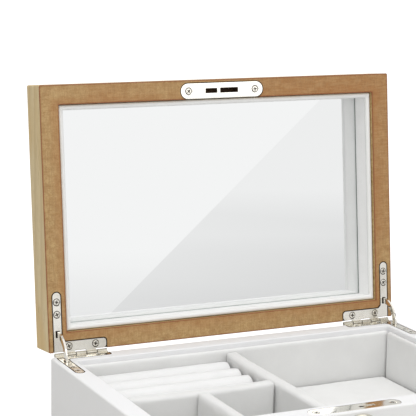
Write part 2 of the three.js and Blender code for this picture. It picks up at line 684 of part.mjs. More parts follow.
function lidBackRail() {
  const rail = block(-railInnerX + FIT_GAP, railInnerX - FIT_GAP, railInnerBack, lidBack,
    lidBottom, lidTop);
  const right = lidLeafSpaces();
  return cut(rail, ...right, ...right.map(mirrored));
}

// The pocket above the strike plate clears the top of the hook's sweep.
function lidFrontRail() {
  const rail = block(-railInnerX + FIT_GAP, railInnerX - FIT_GAP, lidFront, railInnerFront,
    lidBottom, lidTop);
  const plateSpace = plate(roundEnded(STRIKE_LENGTH, STRIKE_WIDTH, strikeY, FIT_GAP),
    lidBottom - 1, lidBottom + STRIKE_THICKNESS + FIT_GAP);
  const hookTop = HOOK_OUTER_RADIUS - HOOK_PIVOT_DROP - LID_GAP / 2 + 1;
  const bridge = HOOK_PIVOT_X - STRIKE_BRIDGE_WIDTH;
  const hookSpace = block(bridge - STRIKE_SLOT_LEFT, HOOK_PIVOT_X + STRIKE_SLOT_RIGHT,
    strikeY - STRIKE_SLOT_HEIGHT / 2, strikeY + STRIKE_SLOT_HEIGHT / 2, 0, hookTop);
  return cut(rail, plateSpace, hookSpace, ...[-strikeScrewX, strikeScrewX].map(
    (x) => turnedOver(screwSpace()).translate(x, strikeY, lidBottom),
  ));
}

function strikePlate() {
  const body = plate(roundEnded(STRIKE_LENGTH, STRIKE_WIDTH, strikeY), lidBottom,
    lidBottom + STRIKE_THICKNESS);
  const y0 = strikeY - STRIKE_SLOT_HEIGHT / 2;
  const y1 = strikeY + STRIKE_SLOT_HEIGHT / 2;
  const bridge = HOOK_PIVOT_X - STRIKE_BRIDGE_WIDTH;
  return cut(
    body,
    block(bridge - STRIKE_SLOT_LEFT, bridge, y0, y1, lidBottom - 1, lidBottom + 5),
    block(HOOK_PIVOT_X, HOOK_PIVOT_X + STRIKE_SLOT_RIGHT, y0, y1, lidBottom - 1, lidBottom + 5),
    ...[-strikeScrewX, strikeScrewX].map(
      (x) => turnedOver(screwSpace()).translate(x, strikeY, lidBottom),
    ),
  );
}

// A padded frame around the inside of the rails, from just under the rim to the mirror.
function lidLining() {
  const outerX = railInnerX - FIT_GAP;
  const outerFront = railInnerFront + FIT_GAP;
  const outerBack = railInnerBack - FIT_GAP;
  const z0 = lidBottom + LID_LINING_DROP;
  const z1 = mirrorBottom - FIT_GAP;
  const body = block(-outerX, outerX, outerFront, outerBack, z0, z1);
  const inside = LINING_THICKNESS - FIT_GAP;
  return cut(body, block(-outerX + inside, outerX - inside, outerFront + inside,
    outerBack - inside, z0 - 1, z1 + 1));
}

addPart(lid, 'lid_rail_left', lidSideRail(-1), 'oak');
addPart(lid, 'lid_rail_right', lidSideRail(1), 'oak');
addPart(lid, 'lid_rail_back', lidBackRail(), 'rim');
addPart(lid, 'lid_rail_front', lidFrontRail(), 'rim');
addPart(lid, 'lid_panel', block(-railInnerX + FIT_GAP, railInnerX - FIT_GAP,
  railInnerFront + FIT_GAP, railInnerBack - FIT_GAP, panelBottom, lidTop), 'oak');
addPart(lid, 'mirror', block(-railInnerX + FIT_GAP, railInnerX - FIT_GAP,
  railInnerFront + FIT_GAP, railInnerBack - FIT_GAP, mirrorBottom, mirrorTop), 'mirror');
addPart(lid, 'lid_lining', lidLining(), 'velvet');
addPart(lid, 'strike_plate', strikePlate(), 'nickel');
for (const [name, x] of [['screw_strike_left', -strikeScrewX],
  ['screw_strike_right', strikeScrewX]]) {
  addPart(lid, name, turnedOver(screw()).translate(x, strikeY, lidBottom), 'steel');
}

// ---------------------------------------------------------------- hinges and stays

const stayGroup = new THREE.Group();
stayGroup.position.set(0, HINGE_Y, HINGE_Z);
box.add(stayGroup);

for (const [word, side] of [['left', -1], ['right', 1]]) {
  addPart(box, `hinge_leaf_base_${word}`, onSide(atHinge(leaf(true)), side), 'nickel');
  addPart(lid, `hinge_leaf_lid_${word}`, onSide(turnedOver(leaf(false)), side), 'nickel');
  addPart(stayGroup, `stay_${word}`, onSide(stay(), side), 'nickel');
  leafScrewPlaces().forEach(([x, y], i) => {
    const low = atHinge(screw().translate(side * x, y, -LID_GAP / 2));
    const high = turnedOver(screw()).translate(side * x, y, LID_GAP / 2);
    addPart(box, `screw_base_${word}_${i + 1}`, low, 'steel');
    addPart(lid, `screw_lid_${word}_${i + 1}`, high, 'steel');
  });
}

export default box;
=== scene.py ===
"""Looks of a jewelry box: lacquered carcass, oak lid with a mirror, padded tray and plated fittings."""

import logging
import math
from dataclasses import dataclass, field
from enum import Enum
from typing import ClassVar, Iterable, Optional, Sequence

import bmesh
import bpy
from bmesh.types import BMVert
from bpy.types import Node, NodeSocket, NodeTree, Object
from mathutils import Matrix, Vector, noise


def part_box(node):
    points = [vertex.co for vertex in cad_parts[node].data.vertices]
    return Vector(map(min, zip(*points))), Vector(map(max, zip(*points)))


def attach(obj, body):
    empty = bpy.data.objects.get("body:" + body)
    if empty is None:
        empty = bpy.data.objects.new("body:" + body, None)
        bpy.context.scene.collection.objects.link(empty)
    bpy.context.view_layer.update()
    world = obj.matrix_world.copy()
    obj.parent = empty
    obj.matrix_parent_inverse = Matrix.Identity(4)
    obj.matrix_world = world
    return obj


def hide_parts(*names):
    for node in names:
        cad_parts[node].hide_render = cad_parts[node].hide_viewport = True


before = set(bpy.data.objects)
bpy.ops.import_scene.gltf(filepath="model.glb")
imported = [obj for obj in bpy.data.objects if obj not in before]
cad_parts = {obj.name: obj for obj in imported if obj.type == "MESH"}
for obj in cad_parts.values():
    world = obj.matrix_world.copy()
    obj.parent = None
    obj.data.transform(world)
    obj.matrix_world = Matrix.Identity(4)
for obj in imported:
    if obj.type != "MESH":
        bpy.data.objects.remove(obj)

log = logging.getLogger("jewelry_box")

Point = tuple[float, float, float]
Flat = tuple[float, float]
Colour = tuple[float, float, float, float]
Sockets = dict[str, NodeSocket]

METRES = Matrix.Scale(0.001, 4)
HINGE_Y, HINGE_Z = 95.4, 50.3
OPEN_ANGLE = 96.0
LID_MIDDLE = -0.0954
AT_HINGE = Matrix.Translation((0.0, HINGE_Y, HINGE_Z))
LID_OPEN = AT_HINGE @ Matrix.Rotation(-math.radians(OPEN_ANGLE), 4, "X")
TO_FRONT = Matrix.Rotation(math.pi / 2, 4, "X")
MIRROR_X = Matrix.Scale(-1.0, 4, (1, 0, 0))
MIRROR_Z = Matrix.Scale(-1.0, 4, (0, 0, 1))


# ---- choices


class Body(Enum):
    """The bodies that pieces ride on."""

    BASE = "base"
    LID = "lid"
    STAY_LEFT = "stay_left"
    STAY_RIGHT = "stay_right"
    HOOK = "lock_hook"
    CYLINDER = "lock_cylinder"


class Side(Enum):
    """Left and right of the box, as a sign on X."""

    LEFT = -1
    RIGHT = 1

    @property
    def word(self) -> str:
        """The side's name in lower case."""
        return self.name.lower()


class Space(Enum):
    """The frame that a pattern is laid out in."""

    BOX = "box"
    LID = "lid"


class Grain(Enum):
    """The direction that wood fibres run in, within their frame."""

    ALONG_X = 0.0
    ALONG_Y = 90.0


# ---- node wiring


def srgb(code: str) -> Colour:
    """Turns a hex colour into linear values.

    Args:
        code: The colour, as in "#B6A67C".

    Returns:
        Red, green, blue and alpha for a colour socket.
    """
    values = [int(code[i : i + 2], 16) / 255 for i in (1, 3, 5)]
    linear = [v / 12.92 if v <= 0.04045 else ((v + 0.055) / 1.055) ** 2.4 for v in values]
    return (linear[0], linear[1], linear[2], 1.0)


def configure(thing: object, **values: object) -> None:
    """Sets several properties of a thing."""
    for name, value in values.items():
        setattr(thing, name, value)


class Wiring:
    """Adds nodes to one node tree and links them."""

    def __init__(self, tree: NodeTree) -> None:
        """Keeps the tree that the nodes go into."""
        self.tree = tree

    def node(self, kind: str, inputs: Optional[dict] = None, **settings: object) -> Node:
        """Adds a node.

        Args:
            kind: The node's type name.
            inputs: What its inputs are fed, by name or number.
            **settings: Properties to set on the node.

        Returns:
            The new node.
        """
        made = self.tree.nodes.new(kind)
        configure(made, **settings)
        for name, value in (inputs or {}).items():
            self.feed(made.inputs[name], value)
        return made

    def out(self, kind: str, inputs: Optional[dict] = None, **settings: object) -> NodeSocket:
        """Adds a node as `node` does, and gives its first output."""
        return self.node(kind, inputs, **settings).outputs[0]

    def feed(self, target: NodeSocket, value: object) -> None:
        """Links a socket, or sets a plain value or a hex colour, to a target socket."""
        if isinstance(value, NodeSocket):
            self.tree.links.new(value, target)
        elif isinstance(value, str) and value.startswith("#"):
            target.default_value = srgb(value)
        elif value is not None:
            target.default_value = value

    def math(self, operation: str, *values: object) -> NodeSocket:
        """Adds a Math node on values or sockets."""
        return self.out("ShaderNodeMath", dict(enumerate(values)), operation=operation)

    def times(self, first: object, second: object) -> NodeSocket:
        """Multiplies two values."""
        return self.math("MULTIPLY", first, second)

    def plus(self, first: object, second: object) -> NodeSocket:
        """Adds two values."""
        return self.math("ADD", first, second)

    def minus(self, first: object, second: object) -> NodeSocket:
        """Takes the second value from the first."""
        return self.math("SUBTRACT", first, second)

    def scaled(self, value: object, factor: object, base: object) -> NodeSocket:
        """Multiplies a value by a factor and adds a base."""
        return self.math("MULTIPLY_ADD", value, factor, base)

    def noise(self, vector: object, scale: object, detail: float = 2.0,
              roughness: float = 0.5) -> NodeSocket:
        """Adds a Noise Texture read at a place, with its scale per metre and its finer layers."""
        return self.out("ShaderNodeTexNoise", {"Vector": vector, "Scale": scale,
                                               "Detail": detail, "Roughness": roughness})

    def stretched(self, vector: object, factors: Point) -> NodeSocket:
        """Multiplies a vector by three factors."""
        return self.out("ShaderNodeVectorMath", {0: vector, 1: factors}, operation="MULTIPLY")

    def split(self, vector: object) -> list[NodeSocket]:
        """Gives a vector's X, Y and Z."""
        return list(self.node("ShaderNodeSeparateXYZ", {0: vector}).outputs)

    def ramp(self, value: object, low: object, high: object, to_low: object = 0.0,
             to_high: object = 1.0) -> NodeSocket:
        """Maps a value smoothly from the range low, high to the range to_low, to_high."""
        return self.out("ShaderNodeMapRange", dict(enumerate((value, low, high, to_low, to_high))),
                        interpolation_type="SMOOTHSTEP")

    def blend(self, factor: object, first: object, second: object) -> NodeSocket:
        """Mixes two colours by a factor, from the first to the second."""
        return self.node("ShaderNodeMix", {0: factor, 6: first, 7: second},
                         data_type="RGBA").outputs[2]

    def tint(self, tone: object, mask: object, strength: float, colour: str) -> NodeSocket:
        """Mixes a colour into a tone where a mask is high."""
        return self.blend(self.times(mask, strength), tone, colour)

    def bump(self, height: object, strength: float, distance: float) -> NodeSocket:
        """Turns a height into a normal."""
        return self.out("ShaderNodeBump", {"Height": height, "Strength": strength,
                                           "Distance": distance})

    def place(self, space: Space, grain: Grain = Grain.ALONG_X,
              shift: Point = (0.0, 0.0, 0.0)) -> NodeSocket:
        """Gives the place on a piece, in metres, in a chosen frame.

        Args:
            space: The box's own frame, or the lid's frame with the lid shut.
            grain: The direction that is turned to lie along X.
            shift: Moves the pattern, so that two boards differ.

        Returns:
            The vector's socket.
        """
        vector = self.node("ShaderNodeTexCoord").outputs["Object"]
        if space is Space.LID:
            vector = self.out("ShaderNodeMapping", {
                "Vector": vector, "Location": (0.0, HINGE_Y / 1000, HINGE_Z / 1000),
                "Rotation": (-math.radians(OPEN_ANGLE), 0.0, 0.0)}, vector_type="TEXTURE")
        if grain is not Grain.ALONG_X or any(shift):
            vector = self.out("ShaderNodeMapping", {
                "Vector": vector, "Location": shift,
                "Rotation": (0.0, 0.0, math.radians(grain.value))}, vector_type="POINT")
        return vector

    def effect(self, kind: type["Effect"], vector: object, **values: object) -> Sockets:
        """Places a shared effect.

        Args:
            kind: The effect's class.
            vector: The place that its pattern is read at.
            **values: Its other inputs, by name with underscores for spaces.

        Returns:
            What it puts out, by name.
        """
        inputs = {name.replace("_", " "): value for name, value in values.items()}
        made = self.node("ShaderNodeGroup", {"Vector": vector, **inputs}, node_tree=kind().tree())
        return {s.name: s for s in made.outputs}


class Effect:
    """A shader node group that several finishes share, built on its first use."""

    inputs: ClassVar[dict[str, float]] = {}

    def tree(self) -> NodeTree:
        """Gives the group's tree."""
        name = type(self).__name__
        tree = bpy.data.node_groups.get(name)
        if tree:
            return tree
        tree = bpy.data.node_groups.new(name, "ShaderNodeTree")
        socket = tree.interface.new_socket
        socket(name="Vector", in_out="INPUT", socket_type="NodeSocketVector")
        for label, value in self.inputs.items():
            number = socket(name=label, in_out="INPUT", socket_type="NodeSocketFloat")
            number.default_value = value
        w = Wiring(tree)
        given = {s.name: s for s in w.node("NodeGroupInput").outputs}
        made = self.wire(w, given["Vector"], given)
        for label in made:
            socket(name=label, in_out="OUTPUT", socket_type="NodeSocketFloat")
        w.node("NodeGroupOutput", made)
        return tree

    def wire(self, w: Wiring, vector: NodeSocket, given: Sockets) -> Sockets:
        """Makes the group's nodes.

        Args:
            w: The wiring of the group's tree.
            vector: The place that the pattern is read at.
            given: All inputs, by name.

        Returns:
            What the group puts out, by name.
        """
        raise NotImplementedError


class WoodFigure(Effect):
    """Wood with its fibres along X: growth rings about a tilted heart, fibres and pores."""

    inputs = {"Ring Spacing": 0.003, "Heart Depth": 0.05, "Tilt": 0.1, "Wander": 0.003,
              "Fibre Scale": 700.0}

    def wire(self, w: Wiring, vector: NodeSocket, given: Sockets) -> Sockets:
        """Makes the rings, fibres and pores, and their height."""
        x, y, z = w.split(vector)
        drift = w.noise(w.stretched(vector, (6.0, 26.0, 26.0)), 1.0, 3.0)
        drift = w.times(w.minus(drift, 0.5), given["Wander"])
        depth = w.plus(w.scaled(x, given["Tilt"], given["Heart Depth"]), z)
        radius = w.math("SQRT", w.plus(w.math("POWER", w.plus(y, drift), 2.0),
                                       w.math("POWER", depth, 2.0)))
        phase = w.math("FRACT", w.math("DIVIDE", w.plus(radius, drift), given["Ring Spacing"]))
        rings = w.times(w.math("POWER", phase, 2.4), w.ramp(phase, 0.86, 1.0, 1.0, 0.0))
        scale = given["Fibre Scale"]
        fibre = w.noise(w.stretched(vector, (0.03, 1.0, 1.0)), scale, 4.0, 0.62)
        dashes = w.noise(w.stretched(vector, (0.05, 1.0, 1.0)), w.times(scale, 3.1), 1.0)
        pores = w.times(w.ramp(dashes, 0.62, 0.72), w.ramp(rings, 0.0, 0.5, 1.0, 0.35))
        height = w.minus(w.times(fibre, 0.5), w.times(pores, 0.8))
        return {"Rings": rings, "Fibre": fibre, "Pores": pores, "Height": height}


class EdgeBand(Effect):
    """A ragged band along the four sides of a rectangle, for worn or burnt edges and for painted shade
    along creases and joins.
    """

    inputs = {"Half Width": 0.14, "Half Depth": 0.0935, "Middle": 0.0, "Reach": 0.001,
              "Ragged": 0.5, "Ragged Scale": 160.0}

    def wire(self, w: Wiring, vector: NodeSocket, given: Sockets) -> Sockets:
        """Makes the band, 1 on the edge and 0 away from it."""
        x, y, _ = w.split(vector)
        away_x = w.minus(given["Half Width"], w.math("ABSOLUTE", x))
        away_y = w.minus(given["Half Depth"], w.math("ABSOLUTE", w.minus(y, given["Middle"])))
        away = w.math("ABSOLUTE", w.math("MINIMUM", away_x, away_y))
        rough = w.minus(w.noise(vector, given["Ragged Scale"], 3.0), 0.5)
        rough = w.times(w.times(rough, given["Ragged"]), given["Reach"])
        return {"Band": w.ramp(w.plus(away, w.times(rough, 2.0)), 0.0, given["Reach"], 1.0, 0.0)}


class ClothNap(Effect):
    """Short-pile cloth: fine tufts over patches where the pile lies another way."""

    inputs = {"Pile Scale": 2600.0, "Patch Scale": 45.0}

    def wire(self, w: Wiring, vector: NodeSocket, given: Sockets) -> Sockets:
        """Makes the tufts and patches, and the pile's height."""
        scale = given["Pile Scale"]
        tufts = w.noise(vector, scale, 2.0, 0.6)
        threads = w.noise(w.stretched(vector, (1.0, 0.35, 1.0)), w.times(scale, 0.4), 1.0)
        patches = w.ramp(w.noise(vector, given["Patch Scale"], 3.0, 0.55), 0.35, 0.68)
        height = w.plus(w.times(tufts, 0.6), w.times(threads, 0.4))
        return {"Tufts": tufts, "Patches": patches, "Height": height}


class HandlingMarks(Effect):
    """Marks of handling: faint smears, fine dust and hairline scratches."""

    inputs = {"Smear Scale": 22.0, "Dust Scale": 1400.0, "Scratch Scale": 90.0}

    def wire(self, w: Wiring, vector: NodeSocket, given: Sockets) -> Sockets:
        """Makes the smears, dust and scratches."""
        smears = w.noise(w.stretched(vector, (1.0, 0.6, 1.3)), given["Smear Scale"], 4.0, 0.6)
        specks = w.noise(vector, given["Dust Scale"], 1.0)
        lines = w.noise(w.stretched(vector, (0.12, 4.0, 4.0)), given["Scratch Scale"], 2.0)
        hair = w.ramp(w.math("ABSOLUTE", w.minus(lines, 0.5)), 0.0, 0.012, 1.0, 0.0)
        return {"Smears": w.ramp(smears, 0.42, 0.7), "Dust": w.ramp(specks, 0.72, 0.8),
                "Scratches": hair}


class PolishLines(Effect):
    """Fine parallel lines left by polishing, along X of the vector."""

    inputs = {"Line Scale": 3000.0}

    def wire(self, w: Wiring, vector: NodeSocket, given: Sockets) -> Sockets:
        """Makes the lines and their height."""
        scale = given["Line Scale"]
        lines = w.noise(w.stretched(vector, (0.02, 1.0, 1.0)), scale, 3.0, 0.6)
        slow = w.noise(vector, w.times(scale, 0.04), 2.0)
        return {"Lines": w.plus(w.times(lines, 0.6), w.times(slow, 0.4)), "Height": lines}


# ---- finishes


@dataclass(frozen=True)
class Finish:
    """A finish that makes one material, once.

    Attributes:
        label: The material's name.
        roughness: The surface roughness before its pattern is added.
    """

    label: str
    roughness: float = 0.5

    def material(self) -> bpy.types.Material:
        """Gives the material, built on its first use."""
        made = bpy.data.materials.get(self.label)
        if made:
            return made
        made = bpy.data.materials.new(self.label)
        made.use_nodes = True
        w = Wiring(made.node_tree)
        shader = made.node_tree.nodes["Principled BSDF"]
        for name, value in self.wire(w).items():
            w.feed(shader.inputs[name], value)
        return made

    def wire(self, w: Wiring) -> dict[str, object]:
        """Makes this finish's nodes.

        Args:
            w: The wiring of the material's tree.

        Returns:
            What the shader's inputs are fed, by name.
        """
        raise NotImplementedError


@dataclass(frozen=True)
class Lacquer(Finish):
    """Sprayed white lacquer, rubbed a little thin along the arrises."""

    label: str = "white_lacquer"
    roughness: float = 0.48
    colour: str = "#E8E8E9"
    rubbed: str = "#E3E2DE"

    def wire(self, w: Wiring) -> dict[str, object]:
        """Makes the lacquer's nodes."""
        vector = w.place(Space.BOX)
        marks = w.effect(HandlingMarks, vector)
        edge = w.effect(EdgeBand, vector, Reach=0.0009, Ragged=0.9)
        tone = w.tint(self.colour, edge["Band"], 0.5, self.rubbed)
        tone = w.tint(tone, marks["Smears"], 0.06, "#DEDEDB")
        gloss = w.scaled(marks["Smears"], 0.09, self.roughness)
        gloss = w.scaled(marks["Scratches"], 0.05, gloss)
        return {"Base Color": tone, "Roughness": gloss, "Specular IOR Level": 0.06,
                "Normal": w.bump(w.noise(vector, 620.0, 2.0), 0.16, 0.0002)}


@dataclass(frozen=True)
class Veneer(Finish):
    """Oak under a satin finish.

    Attributes:
        pale: The early wood's colour.
        late: The late wood's colour.
        pore: The colour in the pores.
        warm: The colour where the board is warmer.
        space: The frame that the board lies in.
        grain: The direction of its fibres.
        shift: Moves the figure, so that boards differ.
        spacing: The distance between growth rings, in metres.
        tilt: How far the heart runs off the board's line.
        depth: How far below the surface the heart lies, in metres.
    """

    label: str = "oak"
    roughness: float = 0.46
    pale: str = "#D6C294"
    late: str = "#B89C66"
    pore: str = "#8A7346"
    warm: str = "#C9A765"
    space: Space = Space.LID
    grain: Grain = Grain.ALONG_X
    shift: Point = (0.0, 0.0, 0.0)
    spacing: float = 0.0042
    tilt: float = 0.16
    depth: float = 0.03

    def wire(self, w: Wiring) -> dict[str, object]:
        """Makes the veneer's nodes."""
        vector = w.place(self.space, self.grain, self.shift)
        wood = w.effect(WoodFigure, vector, Ring_Spacing=self.spacing, Heart_Depth=self.depth,
                        Tilt=self.tilt, Wander=0.0035)
        marks = w.effect(HandlingMarks, vector)
        drift = w.ramp(w.noise(w.stretched(vector, (0.6, 1.6, 1.6)), 17.0, 2.0), 0.42, 0.62)
        tone = w.tint(self.pale, wood["Rings"], 0.95, self.late)
        tone = w.tint(tone, w.ramp(wood["Fibre"], 0.35, 0.7), 0.35, self.late)
        tone = w.tint(tone, drift, 0.7, self.warm)
        tone = w.tint(tone, wood["Pores"], 0.6, self.pore)
        tone = w.tint(tone, marks["Smears"], 0.08, self.pore)
        gloss = w.scaled(wood["Rings"], -0.08, self.roughness)
        return {"Base Color": tone, "Roughness": w.scaled(wood["Pores"], 0.25, gloss),
                "Normal": w.bump(wood["Height"], 0.22, 0.0002),
                "Coat Weight": 0.12, "Coat Roughness": 0.3}


@dataclass(frozen=True)
class StainedRim(Finish):
    """The lid's rim: end-flecked wood, stained brown and burnt at its arrises.

    Attributes:
        light: The palest flecks.
        brown: The main stain.
        burnt: The colour along the edges.
        red: The redder stain near the opening.
        outer_half: Half the lid's width and depth, in metres.
        inner_half: Half the opening's width and depth, in metres.
    """

    label: str = "stained_rim"
    roughness: float = 0.5
    light: str = "#C4A671"
    brown: str = "#A98450"
    burnt: str = "#80441F"
    red: str = "#A0662F"
    outer_half: Flat = (0.14, 0.0935)
    inner_half: Flat = (0.126, 0.0795)

    def band(self, w: Wiring, vector: object, half: Flat, reach: float, ragged: float = 0.3,
             scale: float = 420.0) -> NodeSocket:
        """Makes a band along the lid's edge or the opening's.

        Args:
            w: The wiring of the material's tree.
            vector: The place on the rim.
            half: Half the width and depth of the rectangle that it follows.
            reach: Its width, in metres.
            ragged: How ragged it is.
            scale: How fine the raggedness is.

        Returns:
            The band's mask.
        """
        return w.effect(EdgeBand, vector, Half_Width=half[0], Half_Depth=half[1],
                        Middle=LID_MIDDLE, Reach=reach, Ragged=ragged, Ragged_Scale=scale)["Band"]

    def wire(self, w: Wiring) -> dict[str, object]:
        """Makes the rim's nodes."""
        vector = w.place(Space.LID)
        wood = w.effect(WoodFigure, w.stretched(vector, (3.2, 1.0, 1.0)), Ring_Spacing=0.0021,
                        Heart_Depth=0.02, Tilt=0.02, Wander=0.009, Fibre_Scale=520.0)
        x, y, _ = w.split(vector)
        slope = w.scaled(y, -2.2, w.scaled(x, 1.2, -0.21))
        cloud = w.ramp(w.noise(vector, 190.0, 4.0, 0.65), 0.36, 0.66)
        slow = w.ramp(w.plus(w.noise(vector, 13.0, 2.0), slope), 0.38, 0.85)
        fleck = w.ramp(w.noise(vector, 1250.0, 3.0, 0.75), 0.42, 0.62)
        along, across = (w.ramp(w.noise(w.stretched(vector, way), 900.0, 3.0, 0.6), 0.42, 0.62)
                         for way in ((0.14, 1.0, 1.0), (1.0, 0.14, 1.0)))
        tone = w.tint(self.brown, cloud, 0.6, self.light)
        for mask, strength, colour in (
                (slow, 0.6, self.red), (fleck, 0.36, "#84613A"), (along, 0.24, "#C7A674"),
                (across, 0.26, "#8A6238"),
                (self.band(w, vector, self.inner_half, 0.009, 0.9, 60.0), 0.36, self.red),
                (self.band(w, vector, self.inner_half, 0.0015), 0.85, self.burnt),
                (self.band(w, vector, self.outer_half, 0.0014), 0.9, self.burnt)):
            tone = w.tint(tone, mask, strength, colour)
        height = w.plus(wood["Height"], w.times(fleck, -0.4))
        return {"Base Color": tone, "Roughness": w.scaled(fleck, 0.14, self.roughness),
                "Normal": w.bump(height, 0.3, 0.0002), "Coat Weight": 0.08,
                "Coat Roughness": 0.35}


@dataclass(frozen=True)
class SawnWood(Finish):
    """Bare wood as the saw and router leave it, in recesses and on hidden faces; its darkened copies
    are painted shade in the recesses.
    """

    label: str = "sawn_wood"
    roughness: float = 0.8
    colour: str = "#CDB280"
    scorch: str = "#A98A56"
    space: Space = Space.LID

    def wire(self, w: Wiring) -> dict[str, object]:
        """Makes the bare wood's nodes."""
        vector = w.place(self.space)
        wood = w.effect(WoodFigure, vector, Ring_Spacing=0.003, Fibre_Scale=420.0)
        chatter = w.node("ShaderNodeTexWave", {"Vector": vector, "Scale": 240.0,
                                               "Distortion": 1.5},
                         wave_type="BANDS", bands_direction="Z").outputs[1]
        # The second colour darkens the fibres; the recess copies set both colours near black as painted
        # shade.
        tone = w.blend(w.ramp(wood["Fibre"], 0.3, 0.7), self.colour, self.scorch)
        height = w.plus(wood["Height"], w.times(chatter, 0.3))
        return {"Base Color": w.tint(tone, chatter, 0.12, "#7A5C34"),
                "Roughness": w.scaled(wood["Fibre"], 0.12, self.roughness),
                "Normal": w.bump(height, 0.35, 0.0002)}


@dataclass(frozen=True)
class Board(Finish):
    """Pressed fibre board under the box, with pale lining paper pasted on its upper side.

    Attributes:
        colour: The board's colour.
        chip: The colour of its darker fibres.
        paper: The lining paper's colour.
        paper_from: The height that the paper starts at, in metres.
    """

    label: str = "fibre_board"
    roughness: float = 0.7
    colour: str = "#C6AE82"
    chip: str = "#9E8358"
    paper: str = "#CFCFCC"
    paper_from: float = 0.0076

    def wire(self, w: Wiring) -> dict[str, object]:
        """Makes the board's nodes."""
        vector = w.place(Space.BOX)
        fibres = w.noise(w.stretched(vector, (1.0, 0.4, 1.0)), 900.0, 3.0, 0.7)
        clumps = w.ramp(w.noise(vector, 130.0, 3.0), 0.35, 0.7)
        tone = w.blend(w.ramp(fibres, 0.42, 0.7), self.colour, self.chip)
        tone = w.tint(tone, clumps, 0.25, "#B59B6C")
        tone = w.tint(tone, w.effect(HandlingMarks, vector)["Dust"], 0.3, "#E2DCCB")
        papered = w.math("GREATER_THAN", w.split(vector)[2], self.paper_from)
        return {"Base Color": w.blend(papered, tone, self.paper),
                "Roughness": w.scaled(fibres, 0.2, self.roughness),
                "Normal": w.bump(fibres, 0.3, 0.0002)}


@dataclass(frozen=True)
class Velour(Finish):
    """Short-pile lining cloth with a soft sheen.

    Attributes:
        colour: The pile seen from above.
        deep: The pile where it is brushed the other way.
        sheen: How much light the pile's tips catch.
        space: The frame that it lies in.
        corner_shade: Half width, half depth and middle of the rectangle along whose sides the cloth
            gets a band of painted shade.
    """

    label: str = "velour"
    roughness: float = 0.9
    colour: str = "#E9E9E8"
    deep: str = "#DEDEDD"
    sheen: float = 0.2
    space: Space = Space.BOX
    corner_shade: Optional[Point] = None

    def wire(self, w: Wiring) -> dict[str, object]:
        """Makes the cloth's nodes."""
        vector = w.place(self.space)
        nap = w.effect(ClothNap, vector)
        tone = w.tint(self.colour, nap["Patches"], 0.35, self.deep)
        tone = w.tint(tone, w.ramp(nap["Tufts"], 0.35, 0.75), 0.12, "#CFCFCE")
        # Painted shade: darkens the cloth towards grey #B9B9B6 in a thin band along the rectangle's
        # sides, the creases where the lining's walls meet other parts.
        if self.corner_shade:
            fold = w.effect(EdgeBand, vector, Half_Width=self.corner_shade[0], Half_Depth=self.corner_shade[1],
                            Middle=self.corner_shade[2], Reach=0.0011, Ragged=0.3)
            tone = w.tint(tone, fold["Band"], 0.2, "#B9B9B6")
        return {"Base Color": tone, "Roughness": w.scaled(nap["Tufts"], 0.1, self.roughness),
                "Normal": w.bump(nap["Height"], 0.35, 0.00025), "Specular IOR Level": 0.2,
                "Sheen Weight": self.sheen, "Sheen Roughness": 0.4}


@dataclass(frozen=True)
class Piping(Finish):
    """White satin cloth in a fine twill on the back of the lid lining's lip, pure white and glossy as a
    painted highlight, so that the lip shows as a bright line in the mirror.
    """

    label: str = "satin_piping"
    roughness: float = 0.1
    colour: str = "#FFFFFF"
    shade: str = "#F4F4F2"

    def wire(self, w: Wiring) -> dict[str, object]:
        """Makes the piping's nodes."""
        nap = w.effect(ClothNap, w.place(Space.LID), Pile_Scale=3400.0)
        return {"Base Color": w.tint(self.colour, nap["Tufts"], 0.5, self.shade),
                "Roughness": w.scaled(nap["Tufts"], 0.1, self.roughness),
                "Normal": w.bump(nap["Height"], 0.1, 0.0001),
                "Coat Weight": 1.0, "Coat Roughness": 0.1, "Specular IOR Level": 0.9,
                "Sheen Weight": 0.9, "Sheen Roughness": 0.3}


@dataclass(frozen=True)
class Plating(Finish):
    """Polished plate over a stamped fitting.

    Attributes:
        colour: The plate's colour.
        worn: The colour where it is dull.
        lines: How deep the polishing lines are.
        space: The frame that it lies in.
        grain: The direction of the polishing lines.
    """

    label: str = "nickel"
    roughness: float = 0.2
    colour: str = "#FBF8F0"
    worn: str = "#E2DCCE"
    lines: float = 0.12
    space: Space = Space.BOX
    grain: Grain = Grain.ALONG_X

    def wire(self, w: Wiring) -> dict[str, object]:
        """Makes the plate's nodes."""
        vector = w.place(self.space, self.grain)
        polish = w.effect(PolishLines, vector)
        marks = w.effect(HandlingMarks, vector, Smear_Scale=90.0, Scratch_Scale=500.0)
        dull = w.scaled(polish["Lines"], 0.2, w.times(marks["Smears"], 0.5))
        gloss = w.scaled(polish["Lines"], 0.06, self.roughness)
        gloss = w.scaled(marks["Smears"], 0.05, gloss)
        return {"Base Color": w.blend(dull, self.colour, self.worn), "Metallic": 1.0,
                "Roughness": w.scaled(marks["Scratches"], 0.04, gloss),
                "Normal": w.bump(polish["Height"], self.lines, 0.00005)}


@dataclass(frozen=True)
class SilveredGlass(Finish):
    """A mirror's face: silvering seen through clean glass, with painted shade along the line where the
    lining meets it.
    """

    label: str = "silvered_glass"
    roughness: float = 0.008
    colour: str = "#F7F8F8"

    def wire(self, w: Wiring) -> dict[str, object]:
        """Makes the mirror's nodes."""
        vector = w.place(Space.LID)
        marks = w.effect(HandlingMarks, vector, Smear_Scale=14.0)
        # Painted shade: a grey-green band on the glass just inside the lining's edge, where the two
        # meet.
        edge = w.effect(EdgeBand, vector, Half_Width=0.1236, Half_Depth=0.0771,
                        Middle=LID_MIDDLE, Reach=0.0013, Ragged=0.1)
        return {"Base Color": w.tint(self.colour, edge["Band"], 0.85, "#7C8C86"),
                "Metallic": 1.0,
                "Roughness": w.scaled(marks["Smears"], 0.004, self.roughness)}


